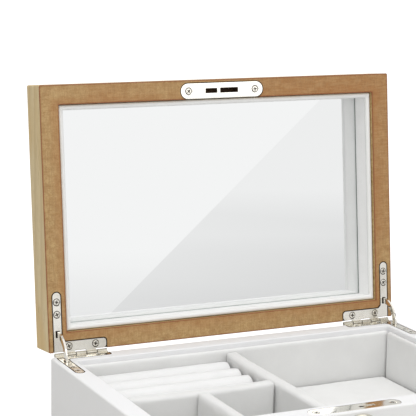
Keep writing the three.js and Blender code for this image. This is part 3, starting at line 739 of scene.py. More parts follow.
@dataclass(frozen=True)
class GlassEdge(Finish):
    """The ground edge and painted back of the mirror."""

    label: str = "ground_glass"
    roughness: float = 0.35
    colour: str = "#A9BDB4"
    back: str = "#7F8886"

    def wire(self, w: Wiring) -> dict[str, object]:
        """Makes the edge's nodes."""
        grit = w.noise(w.place(Space.LID), 1800.0, 2.0, 0.7)
        return {"Base Color": w.blend(w.ramp(grit, 0.35, 0.7), self.colour, self.back),
                "Roughness": w.scaled(grit, 0.3, self.roughness),
                "Normal": w.bump(grit, 0.3, 0.0001), "Coat Weight": 0.3}


LACQUER = Lacquer()
OAK_SIDE = Veneer(label="oak_side", grain=Grain.ALONG_Y, shift=(0.03, 0.012, -0.01), tilt=0.1)
OAK_FRONT = Veneer(label="oak_front", shift=(0.02, 0.0, 0.004), tilt=0.05)
OAK_TOP = Veneer(label="oak_top", shift=(0.0, 0.095, 0.0), depth=0.024, spacing=0.0055, tilt=0.05)
RIM = StainedRim()
SAWN_LID = SawnWood(label="sawn_wood_lid")
# Raw routed wood darkened near to black: painted shade in the recesses and slots round the hinge
# leaves, straps and plates.
SHADED_RECESS_LID = SawnWood(label="scorched_wood_lid", colour="#4E3420", scorch="#291B11")
SHADED_RECESS_BASE = SawnWood(label="scorched_wood_base", space=Space.BOX, colour="#6F5A40",
                         scorch="#3C2D1D")
BOARD = Board()
# The tray cloth carries a band of painted shade along the lining's inner walls.
TRAY_CLOTH = Velour(label="tray_velour", corner_shade=(0.1222, 0.0738, 0.0018))
FLOOR_CLOTH = Velour(label="floor_velour")
# Darker copy of the tray cloth for the small floor pads: painted shade deep in the compartments.
POCKET_CLOTH_SHADED = Velour(label="pocket_velour", colour="#D2D2D0", deep="#C8C8C6", sheen=0.1)
# Brighter copy of the lining cloth for the lid: painted light, with a band of painted shade along the
# lining's walls.
LID_CLOTH_LIT = Velour(label="lid_velour", space=Space.LID, corner_shade=(0.122, 0.0755, -0.0954),
                   colour="#FBFBFA", deep="#F3F3F1", sheen=0.5)
# Another copy of the lining cloth for the lip, toned to the light there: painted light, less than the
# lid lining's copy.
LIP_CLOTH_LIT = Velour(label="lip_velour_lit", space=Space.LID, colour="#EDEDEB", deep="#E4E4E1",
                   sheen=0.1)
# Painted highlight: pure white glossy cloth behind the lip, seen as a bright line in the mirror.
LIP_HIGHLIGHT = Piping()
# Darker copy of the tray cloth for the dividers: painted shade.
DIVIDER_CLOTH_SHADED = Velour(label="divider_velour", colour="#E1E1E0", deep="#D6D6D5", sheen=0.12)
ROLL_CLOTH = Velour(label="roll_velour", colour="#E7E7E7", deep="#DEDEDE", sheen=0.12)
NICKEL_BASE = Plating(label="nickel_base", grain=Grain.ALONG_Y, roughness=0.14)
NICKEL_LID = Plating(label="nickel_lid", space=Space.LID, roughness=0.12)
# Darker copy of the nickel plate for the knuckle row: painted shade for its dark reflections and gaps.
KNUCKLE_SHADED = Plating(label="nickel_knuckle", roughness=0.12, colour="#CFCABD", worn="#9D9585")
NICKEL_STRAP = Plating(label="nickel_strap", roughness=0.1)
NICKEL_BRIGHT = Plating(label="nickel_bright", roughness=0.03, lines=0.04, worn="#F2EEE4")
# Dark steel for the hinge pins, also painted shade: it shows in the knuckle gaps and fills the screws'
# cross recesses.
PIN_STEEL_AND_SHADE = Plating(label="pin_steel", roughness=0.3, colour="#5E574C", worn="#3B362E")
NICKEL_LOCK = Plating(label="nickel_lock", roughness=0.14, colour="#E9E5DA", worn="#C9C3B5")
SCREW_PLATE = Plating(label="screw_plate", roughness=0.1, colour="#F6F2E8", worn="#DAD4C6")
HOOK_STEEL = Plating(label="hook_steel", roughness=0.12, worn="#CFC8BA")
LOCK_STEEL = Plating(label="lock_steel", roughness=0.32, colour="#A8A49A", worn="#7F7A70")
MIRROR_FACE = SilveredGlass()
MIRROR_EDGE = GlassEdge()


# ---- outlines and solids


def arc(middle: Flat, radius: float, start: float, end: float, steps: int = 8) -> list[Flat]:
    """Gives points along an arc.

    Args:
        middle: The arc's centre, in millimetres.
        radius: Its radius, in millimetres.
        start: The first angle, in degrees.
        end: The last angle, in degrees.
        steps: How many pieces the arc has.

    Returns:
        The points, both ends included.
    """
    turns = (math.radians(start + (end - start) * i / steps) for i in range(steps + 1))
    return [(middle[0] + radius * math.cos(t), middle[1] + radius * math.sin(t)) for t in turns]


def countersink(mouth: float, level: float = 0.0) -> list[Flat]:
    """Gives the profile of a countersunk screw hole under a face at a level."""
    return [(0.0, -3.0), (2.2, -3.0), (2.2, level - 0.6), (mouth, level), (mouth, 1.0), (0.0, 1.0)]


def round_ended(length: float, width: float, y: float, grow: float = 0.0) -> list[Flat]:
    """Gives the outline of a plate with full round ends.

    Args:
        length: The plate's length along X.
        width: Its width along Y.
        y: Where its middle line lies.
        grow: How much larger the outline is on all sides.

    Returns:
        The outline's points, in millimetres.
    """
    half = (length - width) / 2
    reach = width / 2 + grow
    return arc((half, y), reach, -90, 90, 14) + arc((-half, y), reach, 90, 270, 14)


@dataclass(frozen=True)
class Rect:
    """A rectangle with rounded corners, in millimetres.

    Attributes:
        x0: Its left side.
        x1: Its right side.
        y0: Its front side.
        y1: Its back side.
        radius: The radius of its corners.
        steps: How many pieces each corner has.
    """

    x0: float
    x1: float
    y0: float
    y1: float
    radius: float = 1.0
    steps: int = 5

    def grown(self, by: float) -> "Rect":
        """Gives the rectangle moved outwards on all sides."""
        return Rect(self.x0 - by, self.x1 + by, self.y0 - by, self.y1 + by,
                    max(self.radius + by, 0.2), self.steps)

    def ring(self, z: float) -> list[Point]:
        """Gives the rectangle's points at a height, anticlockwise."""
        r = self.radius
        corners = ((self.x1 - r, self.y0 + r, -90), (self.x1 - r, self.y1 - r, 0),
                   (self.x0 + r, self.y1 - r, 90), (self.x0 + r, self.y0 + r, 180))
        return [(px, py, z) for cx, cy, a in corners
                for px, py in arc((cx, cy), r, a, a + 90, self.steps)]


class Solid:
    """A closed mesh under construction, in millimetres."""

    def __init__(self) -> None:
        """Starts with nothing."""
        self.bm = bmesh.new()

    def ring(self, points: Iterable[Point]) -> list[BMVert]:
        """Adds a ring of vertices."""
        return [self.bm.verts.new(p) for p in points]

    def bridge(self, first: Sequence[BMVert], second: Sequence[BMVert],
               slot: int = 0) -> None:
        """Joins two rings with a band of faces.

        Args:
            first: One ring.
            second: The next ring, with as many vertices.
            slot: The band's material slot.
        """
        count = len(first)
        for i in range(count):
            j = (i + 1) % count
            face = self.bm.faces.new((first[i], first[j], second[j], second[i]))
            face.material_index = slot

    def cap(self, ring: Sequence[BMVert], slot: int = 0) -> None:
        """Closes a ring with one face."""
        self.bm.faces.new(ring).material_index = slot

    def skin(self, rings: Sequence[Sequence[Point]], slots: Sequence[int] = (),
             looped: bool = False, caps: Flat = (0, 0)) -> "Solid":
        """Joins rings one after another into a closed skin.

        Args:
            rings: The rings' points, all with as many points.
            slots: The material slot of each band, or nothing for slot 0.
            looped: Whether the last ring joins the first, instead of caps at both ends.
            caps: The material slots of the two caps.

        Returns:
            This solid.
        """
        made = [self.ring(points) for points in rings]
        pairs = list(zip(made, made[1:])) + ([(made[-1], made[0])] if looped else [])
        for i, (first, second) in enumerate(pairs):
            self.bridge(first, second, slots[i] if i < len(slots) else 0)
        if not looped:
            self.cap(made[0], int(caps[0]))
            self.cap(made[-1], int(caps[1]))
        return self

    def prism(self, outline: Sequence[Flat], z0: float, z1: float) -> "Solid":
        """Adds a flat plate of an outline, from z0 up to z1."""
        return self.skin([[(x, y, z) for x, y in outline] for z in (z0, z1)])

    def block(self, low: Point, high: Point) -> "Solid":
        """Adds a block between two corners, for cutting and joining."""
        (x0, y0, z0), (x1, y1, z1) = low, high
        return self.prism([(x0, y0), (x1, y0), (x1, y1), (x0, y1)], z0, z1)

    def lathe(self, profile: Sequence[Flat], sides: int) -> "Solid":
        """Turns a closed profile of radius and height about Z.

        Args:
            profile: The profile's points.
            sides: How many sides the turned shape has.

        Returns:
            This solid.
        """
        rings = []
        for i in range(sides):
            turn = 2 * math.pi * i / sides
            rings.append([(r * math.cos(turn), r * math.sin(turn), z) for r, z in profile])
        self.skin(rings, looped=True)
        bmesh.ops.remove_doubles(self.bm, verts=self.bm.verts, dist=1e-5)
        bmesh.ops.dissolve_degenerate(self.bm, edges=self.bm.edges, dist=1e-6)
        return self

    def moved(self, matrix: Matrix) -> "Solid":
        """Moves, turns or mirrors everything so far."""
        bmesh.ops.transform(self.bm, matrix=matrix, verts=self.bm.verts)
        return self

    def make(self, name: str, *finishes: Finish) -> Object:
        """Turns the solid into an object, its faces outwards.

        Args:
            name: The object's name.
            *finishes: The finish of each material slot.

        Returns:
            The new object, still in millimetres.
        """
        bmesh.ops.recalc_face_normals(self.bm, faces=self.bm.faces)
        mesh = bpy.data.meshes.new(name)
        self.bm.to_mesh(mesh)
        self.bm.free()
        for finish in finishes:
            mesh.materials.append(finish.material())
        return Bench.lay(name, mesh)


class Bench:
    """The steps that turn a rough piece into a finished one on its body."""

    @staticmethod
    def lay(name: str, data: bpy.types.ID) -> Object:
        """Puts a mesh, a light or a camera into the scene."""
        made = bpy.data.objects.new(name, data)
        bpy.context.scene.collection.objects.link(made)
        return made

    @staticmethod
    def bake(piece: Object) -> None:
        """Makes a piece's modifiers part of its mesh."""
        graph = bpy.context.evaluated_depsgraph_get()
        mesh = bpy.data.meshes.new_from_object(piece.evaluated_get(graph),
                                               preserve_all_data_layers=True, depsgraph=graph)
        old, piece.data = piece.data, mesh
        mesh.name = piece.name
        piece.modifiers.clear()
        bpy.data.meshes.remove(old)

    @classmethod
    def carve(cls, piece: Object, shapes: Sequence[Solid | Object], finish: Finish,
              join: bool = False) -> None:
        """Cuts shapes out of a piece, or joins them to it.

        Args:
            piece: The piece to change.
            shapes: Closed shapes in the piece's own frame.
            finish: The finish of the shapes that have none yet.
            join: Whether the shapes are added instead.
        """
        tools = [s if isinstance(s, Object) else s.make("tool", finish) for s in shapes]
        for tool in tools:
            configure(piece.modifiers.new("carve", "BOOLEAN"), solver="EXACT", object=tool,
                      operation="UNION" if join else "DIFFERENCE", material_mode="TRANSFER")
        cls.bake(piece)
        for tool in tools:
            bpy.data.objects.remove(tool)

    @staticmethod
    def settle(piece: Object, matrix: Matrix = Matrix.Identity(4)) -> None:
        """Puts a piece in its place, in metres, with its faces outwards.

        Args:
            piece: The piece, in millimetres in its own frame.
            matrix: From its own frame to the box's frame, in millimetres.
        """
        piece.data.transform(METRES @ matrix)
        if matrix.determinant() < 0:
            piece.data.flip_normals()
        piece.data.update()

    @classmethod
    def ease(cls, piece: Object, width: float, segments: int = 2,
             angle: float = 32.0) -> None:
        """Eases a settled piece's sharp edges and evens its shading.

        Args:
            piece: The piece, in metres.
            width: The eased width, in millimetres. Nothing is eased at 0.
            segments: How many steps the eased edge has.
            angle: The least angle of an edge that counts as sharp, in degrees.
        """
        if width > 0:
            configure(piece.modifiers.new("ease", "BEVEL"), width=width / 1000,
                      segments=segments, limit_method="ANGLE", angle_limit=math.radians(angle),
                      use_clamp_overlap=True, harden_normals=False)
            cls.bake(piece)
        piece.data.shade_smooth()
        piece.data.set_sharp_from_angle(angle=math.radians(48 if width > 0 else angle))
        configure(piece.modifiers.new("even", "WEIGHTED_NORMAL"), keep_sharp=True, weight=60)
        cls.bake(piece)

    @staticmethod
    def mount(piece: Object, body: Body, slot: str, *nodes: str) -> Object:
        """Hands a piece to its body and reports it.

        Args:
            piece: The finished piece.
            body: The body that it rides on.
            slot: Its material slot; not used.
            *nodes: The CAD nodes that it stands for.

        Returns:
            The piece.
        """
        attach(piece, body.value)
        if nodes:
            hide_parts(*nodes)
        log.info("%s: %d faces on %s", piece.name, len(piece.data.polygons), body.value)
        return piece


# ---- geometry node trees


class ShapeTree(Wiring):
    """A Geometry Nodes tree for pieces that repeat or follow a rule."""

    kinds: ClassVar[dict[type, str]] = {float: "NodeSocketFloat", int: "NodeSocketInt",
                                        type(None): "NodeSocketMaterial"}

    def __init__(self, name: str, inputs: dict[str, object]) -> None:
        """Makes the tree with a geometry input, its named inputs and a geometry output.

        Args:
            name: The tree's name.
            inputs: Its inputs and their defaults. None stands for a material.
        """
        super().__init__(bpy.data.node_groups.new(name, "GeometryNodeTree"))
        socket = self.tree.interface.new_socket
        socket(name="Geometry", in_out="INPUT", socket_type="NodeSocketGeometry")
        for label, value in {**inputs, "Material": None}.items():
            made = socket(name=label, in_out="INPUT", socket_type=self.kinds[type(value)])
            if value is not None:
                made.default_value = value
        socket(name="Geometry", in_out="OUTPUT", socket_type="NodeSocketGeometry")
        self.given = {s.name: s for s in self.node("NodeGroupInput").outputs}

    def dressed(self, geometry: NodeSocket, label: str, where: object = None) -> NodeSocket:
        """Sets the material of a named input on a shape, or on the faces that a mask picks."""
        return self.out("GeometryNodeSetMaterial", {
            "Geometry": geometry, "Selection": where, "Material": self.given[label]})

    def close(self, geometry: NodeSocket) -> "ShapeTree":
        """Ends the tree in Realize Instances and Set Material.

        Args:
            geometry: The shape so far.

        Returns:
            This tree.
        """
        real = self.out("GeometryNodeRealizeInstances", {0: geometry})
        shape = self.dressed(real, "Material")
        if "Recess Material" in self.given:
            marked = self.math("GREATER_THAN", self.mark("recess"), 0.5)
            shape = self.dressed(shape, "Recess Material", marked)
        self.node("NodeGroupOutput", {0: shape})
        return self

    def mark(self, name: str, kind: str = "FLOAT") -> NodeSocket:
        """Reads a named attribute."""
        return self.out("GeometryNodeInputNamedAttribute", {"Name": name}, data_type=kind)

    def mark_recess(self, geometry: NodeSocket, reach: float, shallow: float,
                    deep: float) -> NodeSocket:
        """Marks the faces near the Z axis between two depths.

        Args:
            geometry: The shape.
            reach: How far from the axis the faces' middles may lie.
            shallow: The upper depth.
            deep: The lower depth.

        Returns:
            The marked shape's socket.
        """
        x, y, z = self.split(self.out("GeometryNodeInputPosition"))
        away = self.math("SQRT", self.plus(self.math("POWER", x, 2.0), self.math("POWER", y, 2.0)))
        between = self.times(self.math("LESS_THAN", z, shallow),
                             self.math("GREATER_THAN", z, deep))
        return self.out("GeometryNodeStoreNamedAttribute", {
            "Geometry": geometry, "Name": "recess",
            "Value": self.times(self.math("LESS_THAN", away, reach), between)},
            data_type="FLOAT", domain="FACE")

    def vector(self, x: object, y: object = 0.0, z: object = 0.0) -> NodeSocket:
        """Joins three values into a vector."""
        return self.out("ShaderNodeCombineXYZ", {0: x, 1: y, 2: z})

    def moved(self, geometry: object, place: object = None, turn: object = None) -> NodeSocket:
        """Moves and turns a shape inside the tree."""
        return self.out("GeometryNodeTransform", {
            "Geometry": geometry, "Translation": place, "Rotation": turn})

    def boolean(self, operation: str, first: Optional[NodeSocket],
                others: Sequence[NodeSocket]) -> NodeSocket:
        """Joins or cuts shapes inside the tree.

        Args:
            operation: "UNION" or "DIFFERENCE".
            first: The shape that is cut, or nothing for a union.
            others: The shapes that are joined or taken away.

        Returns:
            The result's socket.
        """
        made = self.node("GeometryNodeMeshBoolean", {0: first} if first else None,
                         operation=operation, solver="EXACT")
        for other in others:
            self.tree.links.new(other, made.inputs[1])
        return made.outputs[0]

    @classmethod
    def screws(cls) -> "ShapeTree":
        """Countersunk cross-head screws on the vertices of a mesh.

        Each vertex carries "axis", the way its head faces, and "turn", where its cross stopped.

        Returns:
            The tree.
        """
        t = cls("CrossHeadScrews", {
            "Head Radius": 2.1, "Head Height": 1.1, "Shank Radius": 1.0, "Length": 7.0,
            "Cross Span": 2.9, "Cross Width": 0.78, "Cross Depth": 1.0, "Recess Material": None})
        head, shank, lip, sides = t.given["Head Radius"], t.given["Shank Radius"], 0.14, 28
        cone = t.out("GeometryNodeMeshCone", {
            "Vertices": sides, "Radius Top": head, "Radius Bottom": shank,
            "Depth": t.given["Head Height"]}, fill_type="NGON")
        drop = t.times(t.plus(t.given["Head Height"], lip), -1.0)
        crown = t.out("GeometryNodeMeshCone", {
            "Vertices": sides, "Radius Top": t.minus(head, 0.24), "Radius Bottom": head,
            "Depth": lip}, fill_type="NGON")
        stem = t.out("GeometryNodeMeshCylinder", {
            "Vertices": sides // 2, "Radius": t.times(shank, 0.96), "Depth": t.given["Length"]},
            fill_type="NGON")
        sink = t.scaled(t.given["Length"], -0.5, -0.5)
        whole = t.boolean("UNION", None, (t.moved(cone, t.vector(0.0, 0.0, drop)),
                                          t.moved(crown, t.vector(0.0, 0.0, -lip)),
                                          t.moved(stem, t.vector(0.0, 0.0, sink))))
        arm = t.vector(t.given["Cross Span"], t.given["Cross Width"],
                       t.times(t.given["Cross Depth"], 2.0))
        arms = [t.moved(t.out("GeometryNodeMeshCube", {"Size": arm}), None, (0.0, 0.0, quarter))
                for quarter in (0.0, math.pi / 2)]
        crossed = t.mark_recess(t.boolean("DIFFERENCE", whole, arms), 1.42, -0.05, -1.1)
        face = t.out("FunctionNodeAlignRotationToVector",
                     {"Vector": t.mark("axis", "FLOAT_VECTOR")}, axis="Z")
        twist = t.out("FunctionNodeAxisAngleToRotation",
                      {"Axis": (0.0, 0.0, 1.0), "Angle": t.mark("turn")})
        spun = t.out("FunctionNodeRotateRotation", {"Rotation": face, "Rotate By": twist},
                     rotation_space="LOCAL")
        return t.close(t.out("GeometryNodeInstanceOnPoints", {
            "Points": t.given["Geometry"], "Instance": crossed, "Rotation": spun}))

    @classmethod
    def knuckles(cls) -> "ShapeTree":
        """Every other knuckle of a hinge's row along X, bored for the pin or with it.

        Returns:
            The tree.
        """
        t = cls("HingeKnuckles", {
            "Start": 97.0, "Knuckle Length": 7.56, "Gap": 0.3, "Count": 5, "First": 0,
            "Radius": 1.5, "Bore": 1.05})
        length = t.given["Knuckle Length"]
        barrel = t.out("GeometryNodeMeshCylinder", {
            "Vertices": 32, "Radius": t.given["Radius"], "Depth": length}, fill_type="NGON")
        drill = t.out("GeometryNodeMeshCylinder", {
            "Vertices": 20, "Radius": t.given["Bore"], "Depth": t.plus(length, 1.0)},
            fill_type="NGON")
        lying = t.moved(t.boolean("DIFFERENCE", barrel, (drill,)), None, (0.0, math.pi / 2, 0.0))
        row = t.out("GeometryNodeMeshLine", {
            "Count": t.given["Count"],
            "Start Location": t.vector(t.scaled(length, 0.5, t.given["Start"])),
            "Offset": t.vector(t.plus(length, t.given["Gap"]))}, mode="OFFSET")
        place = t.plus(t.out("GeometryNodeInputIndex"), t.given["First"])
        thin = t.out("GeometryNodeDeleteGeometry", {
            "Geometry": row, "Selection": t.math("MODULO", place, 2.0)}, domain="POINT")
        return t.close(t.out("GeometryNodeInstanceOnPoints", {"Points": thin, "Instance": lying}))

    @classmethod
    def strap(cls) -> "ShapeTree":
        """A flat strap bent along an arc in the Y-Z plane.

        Returns:
            The tree.
        """
        t = cls("BentStrap", {
            "Arc Radius": 14.9, "Start Angle": 0.0, "Sweep": 1.0, "Strap Width": 4.0,
            "Strap Thickness": 1.6, "Offset": 133.1, "Resolution": 48})
        bend = t.out("GeometryNodeCurveArc", {
            "Resolution": t.given["Resolution"], "Radius": t.given["Arc Radius"],
            "Start Angle": t.given["Start Angle"], "Sweep Angle": t.given["Sweep"]},
            mode="RADIUS")
        section = t.out("GeometryNodeCurvePrimitiveQuadrilateral", {
            "Width": t.given["Strap Width"], "Height": t.given["Strap Thickness"]})
        swept = t.out("GeometryNodeCurveToMesh", {
            "Curve": bend, "Profile Curve": section, "Fill Caps": True})
        upright = t.moved(swept, None, (math.pi / 2, 0.0, math.pi / 2))
        return t.close(t.moved(upright, t.vector(t.given["Offset"])))

    def grow(self, name: str, values: dict[str, object], finish: Finish,
             seeds: Optional[bpy.types.Mesh] = None) -> Object:
        """Runs the tree and keeps its result as a plain mesh.

        Args:
            name: The object's name.
            values: The tree's inputs, by name.
            finish: The finish for its Material input.
            seeds: The mesh that it starts from, if it reads one.

        Returns:
            The new object.
        """
        piece = Bench.lay(name, seeds or bpy.data.meshes.new(name))
        run = piece.modifiers.new("grow", "NODES")
        run.node_group = self.tree
        values = {**values, "Material": finish.material()}
        for item in self.tree.interface.items_tree:
            if item.in_out == "INPUT" and item.name in values:
                run[item.identifier] = values[item.name]
        Bench.bake(piece)
        return piece


# ---- hinges


@dataclass
class Hinges:
    """Two L-shaped hinges let into the walls and the lid, with knuckles, pins and curved straps.

    Sizes are in millimetres in the hinge axis's frame, for the right side.
    """

    outer: float = 136.0
    arm_width: float = 5.8
    arm_length: float = 42.4
    back_width: float = 6.6
    back_length: float = 39.0
    rear: float = -2.5
    lead: float = 1.9
    chamfer: float = 2.0
    top: float = -0.3
    thickness: float = 1.2
    fit: float = 0.8
    arm_screws: Flat = (26.9, 35.6)
    back_screws: Flat = (11.0, 31.0)
    knuckle_count: int = 5
    knuckle_gap: float = 0.6
    knuckle_radius: float = 1.5
    pin_radius: float = 0.75
    strap_inner: float = 12.9
    strap_width: float = 4.0
    strap_thickness: float = 1.6
    strap_tuck: float = 12.0
    strap_clearance: float = 0.5

    @property
    def arm_x(self) -> float:
        """The middle line of the arm along the side wall."""
        return self.outer - self.arm_width / 2

    @property
    def knuckle_length(self) -> float:
        """One knuckle's length."""
        whole = self.back_length + self.knuckle_gap
        return whole / self.knuckle_count - self.knuckle_gap

    @staticmethod
    def frame_of(side: Side, on_lid: bool, settled: bool = False) -> Matrix:
        """Gives the way from the right base leaf's frame to another leaf's.

        Args:
            side: The side of the box.
            on_lid: Whether it is the lid's leaf.
            settled: Whether a lid leaf goes to the open lid's place, not the shut lid's frame.

        Returns:
            The matrix, in millimetres.
        """
        turn = MIRROR_X if side is Side.LEFT else Matrix.Identity(4)
        if on_lid:
            turn = MIRROR_Z @ turn
            return LID_OPEN @ turn if settled else turn
        return AT_HINGE @ turn

    def outline(self, grow: float = 0.0) -> list[Flat]:
        """Gives the leaf's outline, grown on all sides for the recess that holds it."""
        outer = self.outer + grow
        inner = outer - self.arm_width - 2 * grow
        end = self.outer - self.back_length - grow
        rear = self.rear + grow
        front = rear - self.back_width - 2 * grow
        reach = (outer - inner) / 2
        tip = -self.lead - self.arm_length - grow + reach
        corner = (rear - front) / 3
        return ([(outer, rear)] + arc((end + corner, rear - corner), corner, 90, 180, 6)
                + arc((end + corner, front + corner), corner, 180, 270, 6)
                + [(inner - self.chamfer, front), (inner, front - self.chamfer)]
                + arc((inner + reach, tip), reach, 180, 360, 14))

    def screw_places(self) -> list[Flat]:
        """Gives the places of the right leaf's four screws."""
        back_y = self.rear - self.back_width / 2
        return ([(self.arm_x, -self.lead - along) for along in self.arm_screws]
                + [(self.outer - along, back_y) for along in self.back_screws])

    def wood_tools(self, matrix: Matrix) -> list[Solid]:
        """Makes the shapes that the router takes out of the wood for one leaf.

        Args:
            matrix: From the right base leaf's frame to the wood's frame.

        Returns:
            The cutting shapes.
        """
        floor = self.top - self.thickness - self.fit
        reach = math.radians(min(OPEN_ANGLE / 2 + self.strap_tuck + 2, 90))
        near = -self.strap_inner * math.cos(reach) + self.strap_clearance
        far = -self.strap_inner - self.strap_width - self.strap_clearance
        deep = -(self.strap_inner + self.strap_width) * math.sin(reach) - 2
        half = self.strap_thickness / 2 + self.strap_clearance
        solids = [
            Solid().prism(self.outline(self.fit), floor, 1.2),
            Solid().block((self.outer - self.back_length - self.fit, self.rear - 1, floor),
                          (self.outer + self.fit, 1.1, 1.1)),
            Solid().block((self.arm_x - half, far, deep), (self.arm_x + half, near, 1.0)),
        ]
        return [s.moved(matrix) for s in solids]

    def hole(self, place: Flat) -> Solid:
        """Makes the countersunk hole for one screw."""
        return Solid().lathe(countersink(2.74, self.top), 30).moved(
            Matrix.Translation((*place, 0.0)))

    def leaf(self, side: Side, on_lid: bool, tree: ShapeTree) -> Object:
        """Makes one leaf with its knuckles.

        Args:
            side: The side of the box.
            on_lid: Whether it is the lid's leaf. The base's leaf carries the pin.
            tree: The tree that lays out the knuckles.

        Returns:
            The leaf on its body.
        """
        finish = NICKEL_LID if on_lid else NICKEL_BASE
        start = self.outer - self.back_length
        pitch = self.knuckle_length + self.knuckle_gap
        low = self.top - self.thickness
        piece = Solid().prism(self.outline(), low, self.top).make("leaf", finish)
        # The knuckles take the darker nickel copy, painted shade.
        joined = [tree.grow("row", {
            "Start": start, "Knuckle Length": self.knuckle_length, "Gap": self.knuckle_gap,
            "Count": self.knuckle_count, "First": 1 if on_lid else 0,
            "Radius": self.knuckle_radius, "Bore": 1.05 if on_lid else 0.5}, KNUCKLE_SHADED)]
        for i in range(1 if on_lid else 0, self.knuckle_count, 2):
            x = start + i * pitch
            joined.append(Solid().block((x, self.rear - 1, low),
                                        (x + self.knuckle_length, -0.4, self.top)))
        upright = Matrix.Translation((start, 0, 0)) @ Matrix.Rotation(math.pi / 2, 4, "Y")
        # The pin's dark steel also paints the shade in the gaps between knuckles.
        if not on_lid:
            joined.append(Solid().prism(arc((0, 0), self.pin_radius, 0, 345, 23), 0,
                                        self.back_length).moved(upright).make("pin", PIN_STEEL_AND_SHADE))
        Bench.carve(piece, joined, finish, join=True)
        half = self.strap_thickness / 2 + 1.5 * self.strap_clearance
        far = -self.strap_inner - self.strap_width - self.strap_clearance
        cuts = [self.hole(p) for p in self.screw_places()]
        cuts.append(Solid().block((self.arm_x - half, far, -9),
                                  (self.arm_x + half, -self.strap_inner + 0.5, 9)))
        if on_lid:
            cuts.append(Solid().prism(arc((0, 0), 1.05, 0, 345, 23), -1,
                                      self.back_length + 1).moved(upright))
        Bench.carve(piece, cuts, finish)
        word = "lid" if on_lid else "base"
        piece.name = f"leaf_{word}_{side.word}"
        Bench.settle(piece, self.frame_of(side, on_lid, settled=True))
        Bench.ease(piece, 0.13, 2)
        return Bench.mount(piece, Body.LID if on_lid else Body.BASE, "nickel",
                           f"hinge_leaf_{word}_{side.word}")

    def strap(self, side: Side, tree: ShapeTree) -> Object:
        """Makes the curved strap that slides through both leaves of one side."""
        start = 180 - OPEN_ANGLE - self.strap_tuck
        piece = tree.grow(f"strap_{side.word}", {
            "Arc Radius": self.strap_inner + self.strap_width / 2,
            "Start Angle": math.radians(start),
            "Sweep": math.radians(OPEN_ANGLE + 2 * self.strap_tuck),
            "Strap Width": self.strap_width, "Strap Thickness": self.strap_thickness,
            "Offset": self.arm_x}, NICKEL_STRAP)
        Bench.settle(piece, self.frame_of(side, False))
        Bench.ease(piece, 0.28, 3)
        body = Body.STAY_LEFT if side is Side.LEFT else Body.STAY_RIGHT
        return Bench.mount(piece, body, "nickel", f"stay_{side.word}")

    def build(self) -> None:
        """Makes both hinges and both straps."""
        knuckles, bend = ShapeTree.knuckles(), ShapeTree.strap()
        for side in Side:
            self.leaf(side, False, knuckles)
            self.leaf(side, True, knuckles)
            self.strap(side, bend)


# ---- lock


